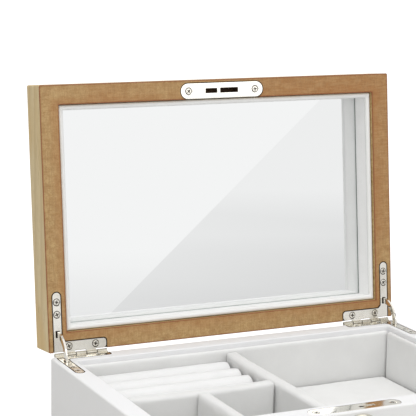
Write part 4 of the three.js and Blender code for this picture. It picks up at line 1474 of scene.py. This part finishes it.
@dataclass
class Lock:
    """The lock plate, hook, cylinder and escutcheon in the front wall, and the lid's strike plate.

    Sizes are in millimetres. The strike plate's are in the shut lid's frame.
    """

    line_y: float = -85.5
    top: float = 50.0
    front: float = -93.5
    plate_length: float = 67.0
    plate_width: float = 10.8
    thickness: float = 1.2
    screw_x: float = 28.0
    slot_from: float = 3.17
    slot_to: float = 14.14
    slot_half: float = 1.3
    pivot: Flat = (-1.5, 40.0)
    hook_inner: float = 12.6
    hook_outer: float = 17.6
    hook_level: float = 9.6
    hub: float = 3.6
    bore: float = 1.8
    hook_thickness: float = 1.8
    keyhole_z: float = 33.1
    rose: float = 15.0
    barrel: float = 4.0
    strike_length: float = 66.0
    strike_width: float = 11.3
    strike_y: float = -180.9
    strike_low: float = 0.3
    strike_screw_x: float = 26.7
    strike_slots: tuple[Flat, Flat] = ((-13.2, -4.1), (-1.5, 12.7))
    strike_slot_half: float = 1.7

    def wall_tools(self) -> list[Solid]:
        """Makes the shapes taken out of the front wall: plate recess, case mortise and bore."""
        floor = self.top - self.thickness
        drill = Solid().prism(arc((0, 0), self.barrel + 0.3, 0, 350, 35), 0, 9)
        drill.moved(Matrix.Translation((0, self.front + 8, self.keyhole_z)) @ TO_FRONT)
        return [
            Solid().prism(round_ended(self.plate_length, self.plate_width, self.line_y, 0.15),
                          floor - 0.05, self.top + 1),
            Solid().block((-24.3, self.line_y - 4.8, floor - 27.3),
                          (24.3, self.line_y + 4.8, self.top + 0.9)),
            drill,
        ]

    def rail_tools(self) -> list[Solid]:
        """Makes the shapes taken out of the lid's front rail for the strike plate."""
        (left, _), (_, right) = self.strike_slots
        half = self.strike_slot_half
        return [
            Solid().prism(round_ended(self.strike_length, self.strike_width, self.strike_y, 0.5),
                          -1.0, self.strike_low + self.thickness + 0.3),
            Solid().block((left, self.strike_y - half, -0.9), (right, self.strike_y + half, 8.3)),
        ]

    def slotted(self, length: float, width: float, y: float, low: float, screw_x: float,
                slots: Sequence[Flat], slot_half: float, up: bool) -> Object:
        """Makes a plate with round ends, its slots and two countersunk holes.

        Args:
            length: The plate's length.
            width: Its width.
            y: Where its middle line lies.
            low: Where its lower face lies.
            screw_x: How far its screws are from its middle.
            slots: Where each slot starts and ends along X.
            slot_half: Half the slots' width.
            up: Whether its holes are countersunk from above.

        Returns:
            The plate.
        """
        high = low + self.thickness
        face, flip = (high, Matrix.Identity(4)) if up else (low, MIRROR_Z)
        cuts = [Solid().block((x0, y - slot_half, face - 4), (x1, y + slot_half, face + 5))
                for x0, x1 in slots]
        cuts += [Solid().lathe(countersink(2.8), 30).moved(
            Matrix.Translation((x, y, face)) @ flip) for x in (-screw_x, screw_x)]
        piece = Solid().prism(round_ended(length, width, y), low, high).make("plate", NICKEL_BRIGHT)
        Bench.carve(piece, cuts, NICKEL_BRIGHT)
        return piece

    def plate(self) -> Object:
        """Makes the lock plate with the hook's slot."""
        piece = self.slotted(self.plate_length, self.plate_width, self.line_y,
                             self.top - self.thickness, self.screw_x,
                             ((self.slot_from, self.slot_to),), self.slot_half, True)
        piece.name = "plate_lock"
        Bench.settle(piece)
        Bench.ease(piece, 0.3, 3)
        return Bench.mount(piece, Body.BASE, "nickel", "lock_plate")

    def strike(self) -> Object:
        """Makes the strike plate with its two slots."""
        piece = self.slotted(self.strike_length, self.strike_width, self.strike_y,
                             self.strike_low, self.strike_screw_x, self.strike_slots,
                             self.strike_slot_half, False)
        piece.name = "plate_strike"
        Bench.settle(piece, LID_OPEN)
        Bench.ease(piece, 0.3, 3)
        return Bench.mount(piece, Body.LID, "nickel", "strike_plate")

    def hook(self) -> Object:
        """Makes the swinging hook at rest just under the plate."""
        outer_end = math.degrees(math.asin(self.hook_level / self.hook_outer))
        inner_end = math.degrees(math.asin(self.hook_level / self.hook_inner))
        tail, neck = math.radians(-35), math.radians(-12)
        outline = arc((0, 0), self.hook_outer, -35, outer_end, 20)
        outline += arc((0, 0), self.hook_inner, inner_end, -12, 16)
        outline += [(self.hub * math.cos(a), self.hub * math.sin(a)) for a in (neck, tail)]
        low, high = -self.line_y - self.hook_thickness / 2, -self.line_y + self.hook_thickness / 2
        piece = Solid().prism(outline, low, high).make("hook", HOOK_STEEL)
        hub = Solid().prism(arc((0, 0), self.hub, 0, 350, 35), low, high)
        bore = Solid().prism(arc((0, 0), self.bore, 0, 345, 23), low - 1, high + 1)
        Bench.carve(piece, [hub], HOOK_STEEL, join=True)
        Bench.carve(piece, [bore], HOOK_STEEL)
        piece.name = "hook_claw"
        Bench.settle(piece, Matrix.Translation((self.pivot[0], 0, self.pivot[1])) @ TO_FRONT)
        Bench.ease(piece, 0.2, 2)
        return Bench.mount(piece, Body.HOOK, "lock_steel", "lock_hook")

    def escutcheon(self) -> Object:
        """Makes the round keyhole plate with its raised rim."""
        rim = self.rose
        profile = [(4.3, 0.0), (rim, 0.0), (rim, 0.9), (rim - 0.15, 1.4), (rim - 0.6, 1.82),
                   (rim - 1.2, 1.98), (rim - 1.8, 2.0), (rim - 2.4, 1.9), (rim - 3.0, 1.5),
                   (rim - 3.4, 1.12), (rim - 3.9, 1.0), (6.4, 1.0), (5.9, 1.1), (5.4, 1.6),
                   (5.0, 1.92), (4.65, 2.0), (4.4, 1.9), (4.3, 1.6)]
        piece = Solid().lathe(profile, 96).make("rose_keyhole", NICKEL_LOCK)
        Bench.settle(piece, Matrix.Translation((0, self.front, self.keyhole_z)) @ TO_FRONT)
        Bench.ease(piece, 0.0)
        return Bench.mount(piece, Body.BASE, "nickel", "escutcheon")

    def cylinder(self) -> Object:
        """Makes the key cylinder with its keyway."""
        r, length, face = self.barrel, 7.6, 1.8
        profile = [(0.0, face - length), (r, face - length), (r, face - 0.3), (r - 0.3, face),
                   (r - 0.9, face), (r - 1.05, face - 0.15), (r - 1.2, face), (0.0, face)]
        piece = Solid().lathe(profile, 48).make("cylinder", NICKEL_LOCK)
        keyway = Solid().block((-0.6, -2.5, face - 5), (0.6, 2.5, face + 1))
        throat = Solid().prism(arc((0, 1.1), 1.05, 0, 345, 23), face - 4.6, face + 0.9)
        Bench.carve(piece, [keyway, throat], LOCK_STEEL)
        piece.name = "cylinder_key"
        Bench.settle(piece, Matrix.Translation((0, self.front, self.keyhole_z)) @ TO_FRONT)
        Bench.ease(piece, 0.0)
        return Bench.mount(piece, Body.CYLINDER, "nickel", "lock_cylinder")

    def build(self) -> None:
        """Makes the lock's pieces and dresses the case."""
        for make in (self.plate, self.strike, self.hook, self.escutcheon, self.cylinder):
            make()
        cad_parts["lock_case"].material_slots[0].material = LOCK_STEEL.material()


@dataclass
class Screws:
    """The countersunk cross-head screws of the hinges and the lock."""

    hinges: Hinges
    lock: Lock
    sunk: float = 0.06

    def places(self, on_lid: bool) -> list[tuple[Vector, Vector]]:
        """Gives each screw's place and the way its head faces, in the box's frame."""
        found, up = [], Vector((0, 0, 1))
        for side in Side:
            matrix = self.hinges.frame_of(side, on_lid, settled=True)
            level = self.hinges.top - self.sunk
            found += [(matrix @ Vector((x, y, level)), matrix.to_3x3() @ up)
                      for x, y in self.hinges.screw_places()]
        if on_lid:
            x, y, z = self.lock.strike_screw_x, self.lock.strike_y, self.lock.strike_low + self.sunk
            found += [(LID_OPEN @ Vector((s * x, y, z)), LID_OPEN.to_3x3() @ -up) for s in (-1, 1)]
        else:
            x, y, z = self.lock.screw_x, self.lock.line_y, self.lock.top - self.sunk
            found += [(Vector((s * x, y, z)), up) for s in (-1, 1)]
        return found

    def build(self) -> None:
        """Makes one mesh of screws for the base and one for the lid."""
        tree = ShapeTree.screws()
        for on_lid, body in ((False, Body.BASE), (True, Body.LID)):
            spots = self.places(on_lid)
            seeds = bpy.data.meshes.new("screw_spots")
            seeds.from_pydata([tuple(p) for p, _ in spots], [], [])
            axis = seeds.attributes.new("axis", "FLOAT_VECTOR", "POINT")
            axis.data.foreach_set("vector", [v for _, a in spots for v in a.normalized()])
            turn = seeds.attributes.new("turn", "FLOAT", "POINT")
            turn.data.foreach_set("value", [0.4 + 0.83 * i % 1.57 for i in range(len(spots))])
            # The cross recesses take the dark pin steel: painted shade in the recesses.
            piece = tree.grow(f"screws_{body.value}", {"Recess Material": PIN_STEEL_AND_SHADE.material()},
                              SCREW_PLATE, seeds)
            Bench.settle(piece)
            Bench.ease(piece, 0.0)
            ends = "strike" if on_lid else "lock"
            nodes = [f"screw_{ends}_{s.word}" for s in Side]
            nodes += [f"screw_{body.value}_{s.word}_{i}" for s in Side for i in range(1, 5)]
            Bench.mount(piece, body, "screw", *nodes)


# ---- wood


@dataclass
class Carcass:
    """The lacquered walls as one continuous skin with softened arrises, and the bottom board."""

    hinges: Hinges
    lock: Lock
    outside: Rect = Rect(-140.0, 140.0, -93.5, 93.5, 2.0)
    inside: Rect = Rect(-126.0, 126.0, -76.0, 79.5, 1.0)
    height: float = 50.0
    top_round: float = 1.3
    foot_round: float = 0.8
    inner_round: float = 0.9

    def build(self) -> None:
        """Makes the walls, lets in the fittings' recesses and dresses the bottom board."""
        rings: list[list[Point]] = []
        for inset, z in arc((self.foot_round, self.foot_round), self.foot_round, 270, 180, 4):
            rings.append(self.outside.grown(-inset).ring(z))
        r = self.top_round
        for inset, z in arc((r, self.height - r), r, 180, 90, 6):
            rings.append(self.outside.grown(-inset).ring(z))
        r = self.inner_round
        for out, z in arc((r, self.height - r), r, 90, 180, 4):
            rings.append(self.inside.grown(out).ring(z))
        rings.append(self.inside.ring(0.0))
        piece = Solid().skin(rings, looped=True).make("walls_lacquered", LACQUER)
        tools = self.lock.wall_tools()
        for side in Side:
            tools += self.hinges.wood_tools(self.hinges.frame_of(side, False))
        # The recess walls take the darkened raw wood: painted shade round the hinge leaves, straps and
        # lock plate.
        Bench.carve(piece, tools, SHADED_RECESS_BASE)
        Bench.settle(piece)
        Bench.ease(piece, 0.0, angle=35)
        Bench.mount(piece, Body.BASE, "lacquer", "side_board_left", "side_board_right",
                    "back_board", "front_board")
        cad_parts["bottom_panel"].material_slots[0].material = BOARD.material()


@dataclass
class Lid:
    """The lid: a veneered shell with a stained rim, its mirror and its padded lining.

    Sizes are in millimetres in the shut lid's frame.
    """

    hinges: Hinges
    lock: Lock
    outside: Rect = Rect(-140.0, 140.0, -188.9, -1.9, 1.1)
    inside: Rect = Rect(-126.0, 126.0, -174.9, -15.9, 0.8)
    rim_z: float = 0.3
    panel_z: float = 23.9
    top_z: float = 26.3
    top_round: float = 1.0
    rim_round: float = 0.4
    inner_round: float = 0.5
    glass: Rect = Rect(-125.7, 125.7, -174.6, -16.2, 0.8)
    glass_low: float = 21.6
    glass_high: float = 23.6
    lining_lip: float = 2.3
    lining_deep: float = 21.3
    lining_thickness: float = 3.7

    def shell(self) -> Object:
        """Makes the veneered shell with its recesses."""
        side, front, top, rim, bare = range(5)
        r = self.top_round
        rings = [self.outside.grown(-i).ring(z) for i, z in
                 arc((r, self.top_z - r), r, 90, 180, 6)]
        slots = [top] * 4 + [side] * 3
        r = self.rim_round
        rings += [self.outside.grown(-i).ring(z) for i, z in
                  arc((r, self.rim_z + r), r, 180, 270, 4)]
        slots += [rim] * 4 + [rim]
        r = self.inner_round
        rings += [self.inside.grown(o).ring(z) for o, z in
                  arc((r, self.rim_z + r), r, 270, 180, 4)]
        slots += [rim] * 4 + [bare]
        rings.append(self.inside.ring(self.panel_z))
        solid = Solid().skin(rings, slots, caps=(top, bare))
        for face in solid.bm.faces:
            face.normal_update()
            if face.material_index == side and abs(face.normal.y) > abs(face.normal.x):
                face.material_index = front
        piece = solid.make("shell_lid", OAK_SIDE, OAK_FRONT, OAK_TOP, RIM, SAWN_LID)
        tools = self.lock.rail_tools()
        for side_of in Side:
            tools += self.hinges.wood_tools(self.hinges.frame_of(side_of, True))
        # The recess walls take the darkened raw wood: painted shade round the hinge leaves, straps and
        # strike plate.
        Bench.carve(piece, tools, SHADED_RECESS_LID)
        Bench.settle(piece, LID_OPEN)
        Bench.ease(piece, 0.0, angle=35)
        return Bench.mount(piece, Body.LID, "oak", "lid_rail_left", "lid_rail_right",
                           "lid_rail_back", "lid_rail_front", "lid_panel")

    def mirror(self) -> Object:
        """Makes the mirror with its ground edge."""
        rings = [self.glass.grown(-0.35).ring(self.glass_low), self.glass.ring(self.glass_low + 0.35),
                 self.glass.ring(self.glass_high)]
        piece = Solid().skin(rings, (1, 1), caps=(0, 1)).make("mirror_glass", MIRROR_FACE,
                                                              MIRROR_EDGE)
        Bench.settle(piece, LID_OPEN)
        return Bench.mount(piece, Body.LID, "mirror", "mirror")

    def lining(self) -> Object:
        """Makes the padded frame round the mirror: a full round lip, soft walls and a seam, with a
        painted highlight on the back of the lip.
        """
        t = self.lining_thickness
        r = t / 2
        section = [(0.0, self.lining_deep), (0.0, 12.0), (0.0, self.lining_lip + r)]
        section += arc((r, self.lining_lip + r), r, 180, 360, 10)[1:]
        section += [(t - 0.35, 5.3), (t - 0.85, 6.2), (t - 1.0, 7.6), (t - 0.95, 12.0),
                    (t - 0.9, 16.0), (t - 0.95, 18.6), (t - 1.1, 20.2), (t - 1.5, self.lining_deep)]
        rings = [self.glass.grown(-inset).ring(z) for inset, z in section]
        # Slots: the lid's lit cloth, the lip's cloth (both copies painted light) and, behind the lip,
        # white glossy cloth as a painted highlight.
        piece = Solid().skin(rings, [0, 0] + [1] * 10 + [2] * 2, looped=True).make(
            "lining_lid_padded", LID_CLOTH_LIT, LIP_CLOTH_LIT, LIP_HIGHLIGHT)
        Bench.settle(piece, LID_OPEN)
        Bench.ease(piece, 0.0, angle=50)
        Bench.mount(piece, Body.LID, "velvet", "lid_lining")
        return piece

    def build(self) -> None:
        """Makes the lid's pieces."""
        for make in (self.shell, self.mirror, self.lining):
            make()


# ---- upholstery


@dataclass(frozen=True)
class Pad:
    """How one padded piece is made.

    Attributes:
        node: The CAD node whose space it fills.
        cell: The size of its mesh's cells, in millimetres.
        radii: How round its edges are along X, Y and Z, in millimetres.
        slack: How much smaller it starts before it swells, in millimetres.
        finish: Its cloth.
        fill: How tightly it is stuffed; not used.
        slot: Its material slot.
        rolled: Whether it is a round roll along X.
        gap: How far it stays from the walls round it, in millimetres.
    """

    node: str
    cell: float
    radii: Point
    slack: float
    finish: Finish = TRAY_CLOTH
    fill: float = 0.8
    slot: str = "velvet"
    rolled: bool = False
    gap: float = 0.0

    @property
    def name(self) -> str:
        """The finished piece's name."""
        return f"{self.node}_padded"


@dataclass
class Upholstery:
    """The tray's linings, dividers, floor pads and ring rolls, swollen as stuffed cloth."""

    pressure: float = 4.0
    frames: int = 20
    margin: float = 0.04
    roll_end: float = 4.5
    wrinkle: float = 0.1
    pads: tuple[Pad, ...] = (
        *(Pad(f"lining_{side}", 2.4, (0.8, 1.95, 2.2), 0.16, fill=0.9)
          for side in ("back", "front")),
        *(Pad(f"lining_{side}", 2.4, (1.95, 0.9, 2.2), 0.16, fill=0.9)
          for side in ("left", "right")),
        # Dividers and the small floor pads take darker copies of the cloth: painted shade.
        Pad("divider_long", 1.9, (2.2, 1.4, 1.9), 0.35, DIVIDER_CLOTH_SHADED),
        Pad("divider_cross", 1.9, (1.4, 2.2, 1.9), 0.35, DIVIDER_CLOTH_SHADED),
        Pad("divider_short", 1.9, (2.2, 1.4, 1.9), 0.35, DIVIDER_CLOTH_SHADED),
        Pad("floor_pad_small", 2.1, (1.2, 1.2, 1.2), 0.3, POCKET_CLOTH_SHADED, gap=0.5),
        Pad("floor_pad_middle", 2.1, (1.2, 1.2, 1.2), 0.3, POCKET_CLOTH_SHADED, gap=0.5),
        Pad("floor_pad_large", 2.6, (1.2, 1.2, 1.2), 0.3, FLOOR_CLOTH, gap=0.5),
        Pad("ring_bed", 4.0, (2.0, 2.0, 2.0), 0.4, FLOOR_CLOTH),
        *(Pad(f"ring_roll_{i}", 2.0, (0.0, 0.0, 0.0), 0.55, ROLL_CLOTH, slot="ring_roll",
              rolled=True) for i in range(1, 5)),
    )
    made: dict[str, Object] = field(default_factory=dict)

    @staticmethod
    def space(node: str) -> tuple[Vector, Vector]:
        """Gives the corners of a CAD node's box, in millimetres."""
        low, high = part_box(node)
        return low * 1000, high * 1000

    def cushion(self, pad: Pad) -> Solid:
        """Makes an evenly meshed block with rounded edges.

        Args:
            pad: How the piece is made.

        Returns:
            The block, a little smaller than its space.
        """
        low, high = self.space(pad.node)
        inset = Vector((pad.slack + pad.gap, pad.slack + pad.gap, pad.slack))
        low, high = low + inset, high - inset
        size = high - low
        counts = [max(2, round(s / pad.cell)) for s in size]
        radii = Vector([min(r, s / 2 - 0.01) for r, s in zip(pad.radii, size)])
        solid = Solid()
        known: dict[tuple[int, int, int], BMVert] = {}

        def corner(key: tuple[int, int, int]) -> BMVert:
            """Gives the vertex at a lattice place, rounded over near the edges."""
            if key not in known:
                p = Vector([lo + s * k / n for lo, s, k, n in zip(low, size, key, counts)])
                core = Vector([min(max(v, lo + r), hi - r)
                               for v, lo, hi, r in zip(p, low, high, radii)])
                away = Vector([(a - b) / r for a, b, r in zip(p, core, radii)])
                if away.length > 1e-6:
                    away.normalize()
                    p = core + Vector([a * r for a, r in zip(away, radii)])
                known[key] = solid.bm.verts.new(p)
            return known[key]

        for axis in range(3):
            u, v = (axis + 1) % 3, (axis + 2) % 3
            for end in (0, counts[axis]):
                for i in range(counts[u]):
                    for j in range(counts[v]):
                        keys = []
                        for du, dv in ((0, 0), (1, 0), (1, 1), (0, 1)):
                            key = [0, 0, 0]
                            key[axis], key[u], key[v] = end, i + du, j + dv
                            keys.append(corner((key[0], key[1], key[2])))
                        solid.bm.faces.new(keys)
        return solid

    def roll(self, pad: Pad) -> Solid:
        """Makes a round roll along X with domed ends and faint wrinkles.

        Args:
            pad: How the piece is made.

        Returns:
            The roll, a little thinner than its space.
        """
        low, high = self.space(pad.node)
        low.x, high.x = low.x + pad.slack, high.x - pad.slack
        middle = (low + high) / 2
        radius = (high.z - low.z) / 2 - pad.slack
        sides = 28
        ends = [(low.x + self.roll_end * (1 - math.sqrt(max(0.0, 1 - (1 - k / 6) ** 2))),
                 radius * (0.22 + 0.78 * math.sin(math.pi / 2 * k / 6))) for k in range(6)]
        steps = round((high.x - low.x - 2 * self.roll_end) / pad.cell)
        body = [(low.x + self.roll_end + (high.x - low.x - 2 * self.roll_end) * i / steps, radius)
                for i in range(steps + 1)]
        mirrored = [(low.x + high.x - x, r) for x, r in reversed(ends)]
        rings = []
        for x, r in ends + body + mirrored:
            ring = []
            for j in range(sides):
                turn = 2 * math.pi * j / sides
                fold = noise.noise(Vector((x * 0.05, math.cos(turn) * 1.3 + middle.y,
                                           math.sin(turn) * 1.3)))
                reach = r + self.wrinkle * fold * min(1.0, r / radius)
                ring.append((x, middle.y + reach * math.cos(turn),
                             middle.z + reach * math.sin(turn)))
            rings.append(ring)
        return Solid().skin(rings)

    def swell(self) -> None:
        """Runs the cloth on every pad at once and keeps the swollen shapes."""
        scene = bpy.context.scene
        scene.frame_start, scene.frame_end = 1, self.frames
        for piece in self.made.values():
            cloth = piece.modifiers.new("stuffing", "CLOTH")
            configure(cloth.settings, quality=4, use_pressure=True,
                      uniform_pressure_force=self.pressure, tension_stiffness=8.0,
                      compression_stiffness=8.0, bending_stiffness=0.4)
            cloth.settings.effector_weights.gravity = 0.0
            cloth.collision_settings.use_collision = False
            cloth.point_cache.frame_start, cloth.point_cache.frame_end = 1, self.frames
        for step in range(1, self.frames + 1):
            scene.frame_set(step)
        graph = bpy.context.evaluated_depsgraph_get()
        swollen = {}
        for node, piece in self.made.items():
            shape = piece.evaluated_get(graph).to_mesh()
            swollen[node] = [v.co.copy() for v in shape.vertices]
        for node, piece in self.made.items():
            piece.modifiers.clear()
            for vertex, place in zip(piece.data.vertices, swollen[node]):
                vertex.co = place
        scene.frame_set(1)

    def fit(self, pad: Pad, piece: Object, start: Sequence[Vector]) -> None:
        """Caps how far each point moved and keeps the piece inside its own space.

        Args:
            pad: How the piece is made.
            piece: The piece, in metres.
            start: Where its points were before it swelled.
        """
        cap = (pad.slack + 0.35) / 1000
        edge = self.margin / 1000
        low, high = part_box(pad.node)
        inset = Vector((pad.gap, pad.gap, 0.0)) / 1000
        low, high = low + inset, high - inset
        middle = (low + high) / 2
        reach = (high.z - low.z) / 2 - edge
        for vertex, before in zip(piece.data.vertices, start):
            step = vertex.co - before
            if step.length > cap:
                step *= cap / step.length
            place = before + step
            if pad.rolled:
                spoke = Vector((0.0, place.y - middle.y, place.z - middle.z))
                if spoke.length > reach:
                    spoke *= reach / spoke.length
                place = Vector((place.x, middle.y + spoke.y, middle.z + spoke.z))
            vertex.co = [min(max(p, a + edge), b - edge) for p, a, b in zip(place, low, high)]

    def build(self) -> None:
        """Makes every padded piece of the tray."""
        for pad in self.pads:
            solid = self.roll(pad) if pad.rolled else self.cushion(pad)
            piece = solid.make(pad.name, pad.finish)
            Bench.settle(piece)
            self.made[pad.node] = piece
        before = {n: [v.co.copy() for v in p.data.vertices] for n, p in self.made.items()}
        self.swell()
        for pad in self.pads:
            piece = self.made[pad.node]
            self.fit(pad, piece, before[pad.node])
            smooth = piece.modifiers.new("smooth", "SUBSURF")
            smooth.levels = smooth.render_levels = 1
            Bench.bake(piece)
            piece.data.shade_smooth()
            Bench.mount(piece, Body.BASE, pad.slot, pad.node)

    @staticmethod
    def plump(pad: Pad, piece: Object) -> None:
        normals = [v.normal.copy() for v in piece.data.vertices]
        for vertex, out in zip(piece.data.vertices, normals):
            vertex.co += out * (pad.slack / 1000)


# ---- studio


@dataclass(frozen=True)
class Softbox:
    """A soft area light.

    Attributes:
        name: The light's name.
        place: Where it hangs, in metres.
        aim: The point that it faces, in metres.
        size: Its width and height, in metres.
        power: Its power, in watts.
    """

    name: str
    place: Point
    aim: Point
    size: Flat
    power: float

    def hang(self) -> None:
        """Adds the light to the scene."""
        lamp = bpy.data.lights.new(self.name, "AREA")
        lamp.shape = "RECTANGLE"
        lamp.size, lamp.size_y = self.size
        lamp.energy = self.power
        holder = Bench.lay(self.name, lamp)
        holder.location = self.place
        away = Vector(self.place) - Vector(self.aim)
        holder.rotation_euler = away.to_track_quat("Z", "Y").to_euler()
        holder.visible_glossy = False


@dataclass(frozen=True)
class Card:
    """A flat upright board that only polished surfaces see, lit in level strips.

    Attributes:
        name: The card's name.
        y: Where it stands, in metres.
        rungs: From top to bottom, each strip edge's left end (X, Z), right end (X, Z) and
            brightness at both.
    """

    name: str
    y: float
    rungs: tuple[tuple[float, float, float, float, float, float], ...]

    def stand(self) -> None:
        """Adds the card to the scene."""
        mesh = bpy.data.meshes.new(self.name)
        points = [(x, self.y, z) for x0, z0, x1, z1, *_ in self.rungs
                  for x, z in ((x0, z0), (x1, z1))]
        strips = [(2 * i, 2 * i + 1, 2 * i + 3, 2 * i + 2) for i in range(len(self.rungs) - 1)]
        mesh.from_pydata(points, [], strips)
        shade = mesh.attributes.new("lit", "FLOAT", "POINT")
        shade.data.foreach_set("value", [level for rung in self.rungs for level in rung[4:]])
        paint = bpy.data.materials.new(self.name)
        paint.use_nodes = True
        w = Wiring(paint.node_tree)
        paint.node_tree.nodes.remove(paint.node_tree.nodes["Principled BSDF"])
        level = w.node("ShaderNodeAttribute", attribute_name="lit").outputs["Fac"]
        glow = w.out("ShaderNodeEmission", {"Color": "#FFFFFF", "Strength": level})
        w.feed(paint.node_tree.nodes["Material Output"].inputs["Surface"], glow)
        mesh.materials.append(paint)
        board = Bench.lay(self.name, mesh)
        for way in ("camera", "diffuse", "transmission", "volume_scatter", "shadow"):
            setattr(board, f"visible_{way}", False)


@dataclass
class Studio:
    """A pale floor, soft light from above and the camera."""

    camera_place: Point = (-0.5062, -0.9212, 0.3606)
    yaw: float = 25.6
    pitch: float = 10.69
    roll: float = 0.94
    lens: float = 138.1
    floor_half: float = 6.0
    zenith: float = 1.0
    horizon: float = 0.46
    softboxes: tuple[Softbox, ...] = (
        Softbox("softbox_overhead", (-0.1, -0.1, 1.3), (0.0, 0.0, 0.05), (1.2, 1.0), 4.8),
        Softbox("softbox_front", (-0.5, -1.6, 0.7), (0.0, 0.0, 0.1), (1.4, 0.9), 7.0),
    )
    cards: tuple[Card, ...] = (
        Card("card_wide", -0.9, (
            (0.183, 0.409, 0.881, 0.396, 1.7, 1.7),
            (0.1748, 0.3044, 0.873, 0.3044, 1.7, 1.7),
            (0.1748, 0.304, 0.873, 0.304, 0.911, 0.911),
            (0.166, 0.19, 0.859, 0.147, 0.911, 0.911),
            (0.161, 0.128, 0.853, 0.078, 0.919, 0.785),
            (0.158, 0.087, 0.849, 0.031, 0.885, 0.715),
            (0.154, 0.04, 0.844, -0.022, 0.818, 0.678),
            (0.142, -0.123, 0.828, -0.207, 0.723, 0.621),
        )),
        Card("card_slanted", -0.86, (
            (0.141, 0.404, 0.781, 0.393, 1.7, 1.7),
            (0.1333, 0.301, 0.6654, 0.301, 1.7, 1.7),
            (0.1333, 0.3006, 0.6649, 0.3006, 0.964, 0.964),
            (0.119, 0.11, 0.399, 0.089, 0.964, 0.964),
            (0.118, 0.09, 0.375, 0.07, 0.946, 0.946),
            (0.116, 0.071, 0.351, 0.051, 0.911, 0.919),
            (0.114, 0.044, 0.32, 0.026, 0.885, 0.885),
            (0.11, -0.016, 0.25, -0.03, 0.818, 0.818),
        )),
        Card("card_high", -0.9, ((-0.4, 1.0, 0.775, 1.0, 1.7, 1.7),
                                 (-0.4, 0.45, 0.775, 0.45, 1.7, 1.7))),
        Card("card_shade", -0.9, ((0.78, 1.0, 1.3, 1.0, 0.2, 0.2),
                                  (0.78, 0.45, 1.3, 0.45, 0.2, 0.2))),
    )

    def camera(self) -> None:
        """Makes the camera and sets it as the scene's."""
        yaw, pitch, roll = (math.radians(a) for a in (self.yaw, self.pitch, self.roll))
        ahead = Vector((math.sin(yaw) * math.cos(pitch), math.cos(yaw) * math.cos(pitch),
                        -math.sin(pitch)))
        right = Vector((math.cos(yaw), -math.sin(yaw), 0.0))
        up = right.cross(ahead)
        across = right * math.cos(roll) + up * math.sin(roll)
        upright = -right * math.sin(roll) + up * math.cos(roll)
        data = bpy.data.cameras.new("camera")
        data.lens, data.sensor_width = self.lens, 36.0
        data.clip_start, data.clip_end = 0.05, 50.0
        holder = Bench.lay("camera", data)
        turn = Matrix((across, upright, -ahead)).transposed().to_4x4()
        holder.matrix_world = Matrix.Translation(self.camera_place) @ turn
        bpy.context.scene.camera = holder

    def floor(self) -> None:
        """Lays the pale floor."""
        half = self.floor_half
        mesh = bpy.data.meshes.new("floor")
        mesh.from_pydata([(-half, -half, 0), (half, -half, 0), (half, half, 0), (-half, half, 0)],
                         [], [(0, 1, 2, 3)])
        paint = bpy.data.materials.new("floor_paper")
        paint.use_nodes = True
        w = Wiring(paint.node_tree)
        seen = w.node("ShaderNodeLightPath").outputs["Is Camera Ray"]
        looks = {"Base Color": (0.62, 0.62, 0.625, 1.0), "Roughness": 0.9,
                 "Specular IOR Level": 0.1, "Emission Color": "#FFFFFF",
                 "Emission Strength": w.times(seen, 0.62)}
        for name, value in looks.items():
            w.feed(paint.node_tree.nodes["Principled BSDF"].inputs[name], value)
        mesh.materials.append(paint)
        sheet = Bench.lay("floor", mesh)

    def sky(self) -> None:
        """Lights the room from all round, brighter above, white where the camera sees it."""
        world = bpy.data.worlds.new("studio")
        bpy.context.scene.world = world
        world.use_nodes = True
        w = Wiring(world.node_tree)
        height = w.split(w.node("ShaderNodeTexCoord").outputs["Generated"])[2]
        glow = world.node_tree.nodes["Background"]
        w.feed(glow.inputs["Strength"], w.ramp(height, -0.1, 0.9, self.horizon, self.zenith))
        w.feed(glow.inputs["Color"], (1.0, 0.999, 0.993, 1.0))
        white = w.out("ShaderNodeBackground", {"Color": "#FFFFFF", "Strength": 1.1})
        seen = w.node("ShaderNodeLightPath").outputs["Is Camera Ray"]
        mix = w.out("ShaderNodeMixShader", {0: seen, 1: glow.outputs[0], 2: white})
        w.feed(world.node_tree.nodes["World Output"].inputs["Surface"], mix)

    def build(self) -> None:
        """Sets up the floor, the lights, the cards and the camera."""
        bpy.context.scene.view_settings.view_transform = "Standard"
        self.camera()
        self.floor()
        self.sky()
        for box in self.softboxes:
            box.hang()
        for card in self.cards:
            card.stand()


def main() -> None:
    """Builds the box's looks in order."""
    logging.basicConfig(level=logging.INFO, format="%(name)s: %(message)s")
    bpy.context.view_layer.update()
    Studio().build()
    hinges, lock = Hinges(), Lock()
    Carcass(hinges, lock).build()
    Lid(hinges, lock).build()
    hinges.build()
    lock.build()
    Screws(hinges, lock).build()
    Upholstery().build()


if __name__ == "__main__":
    main()
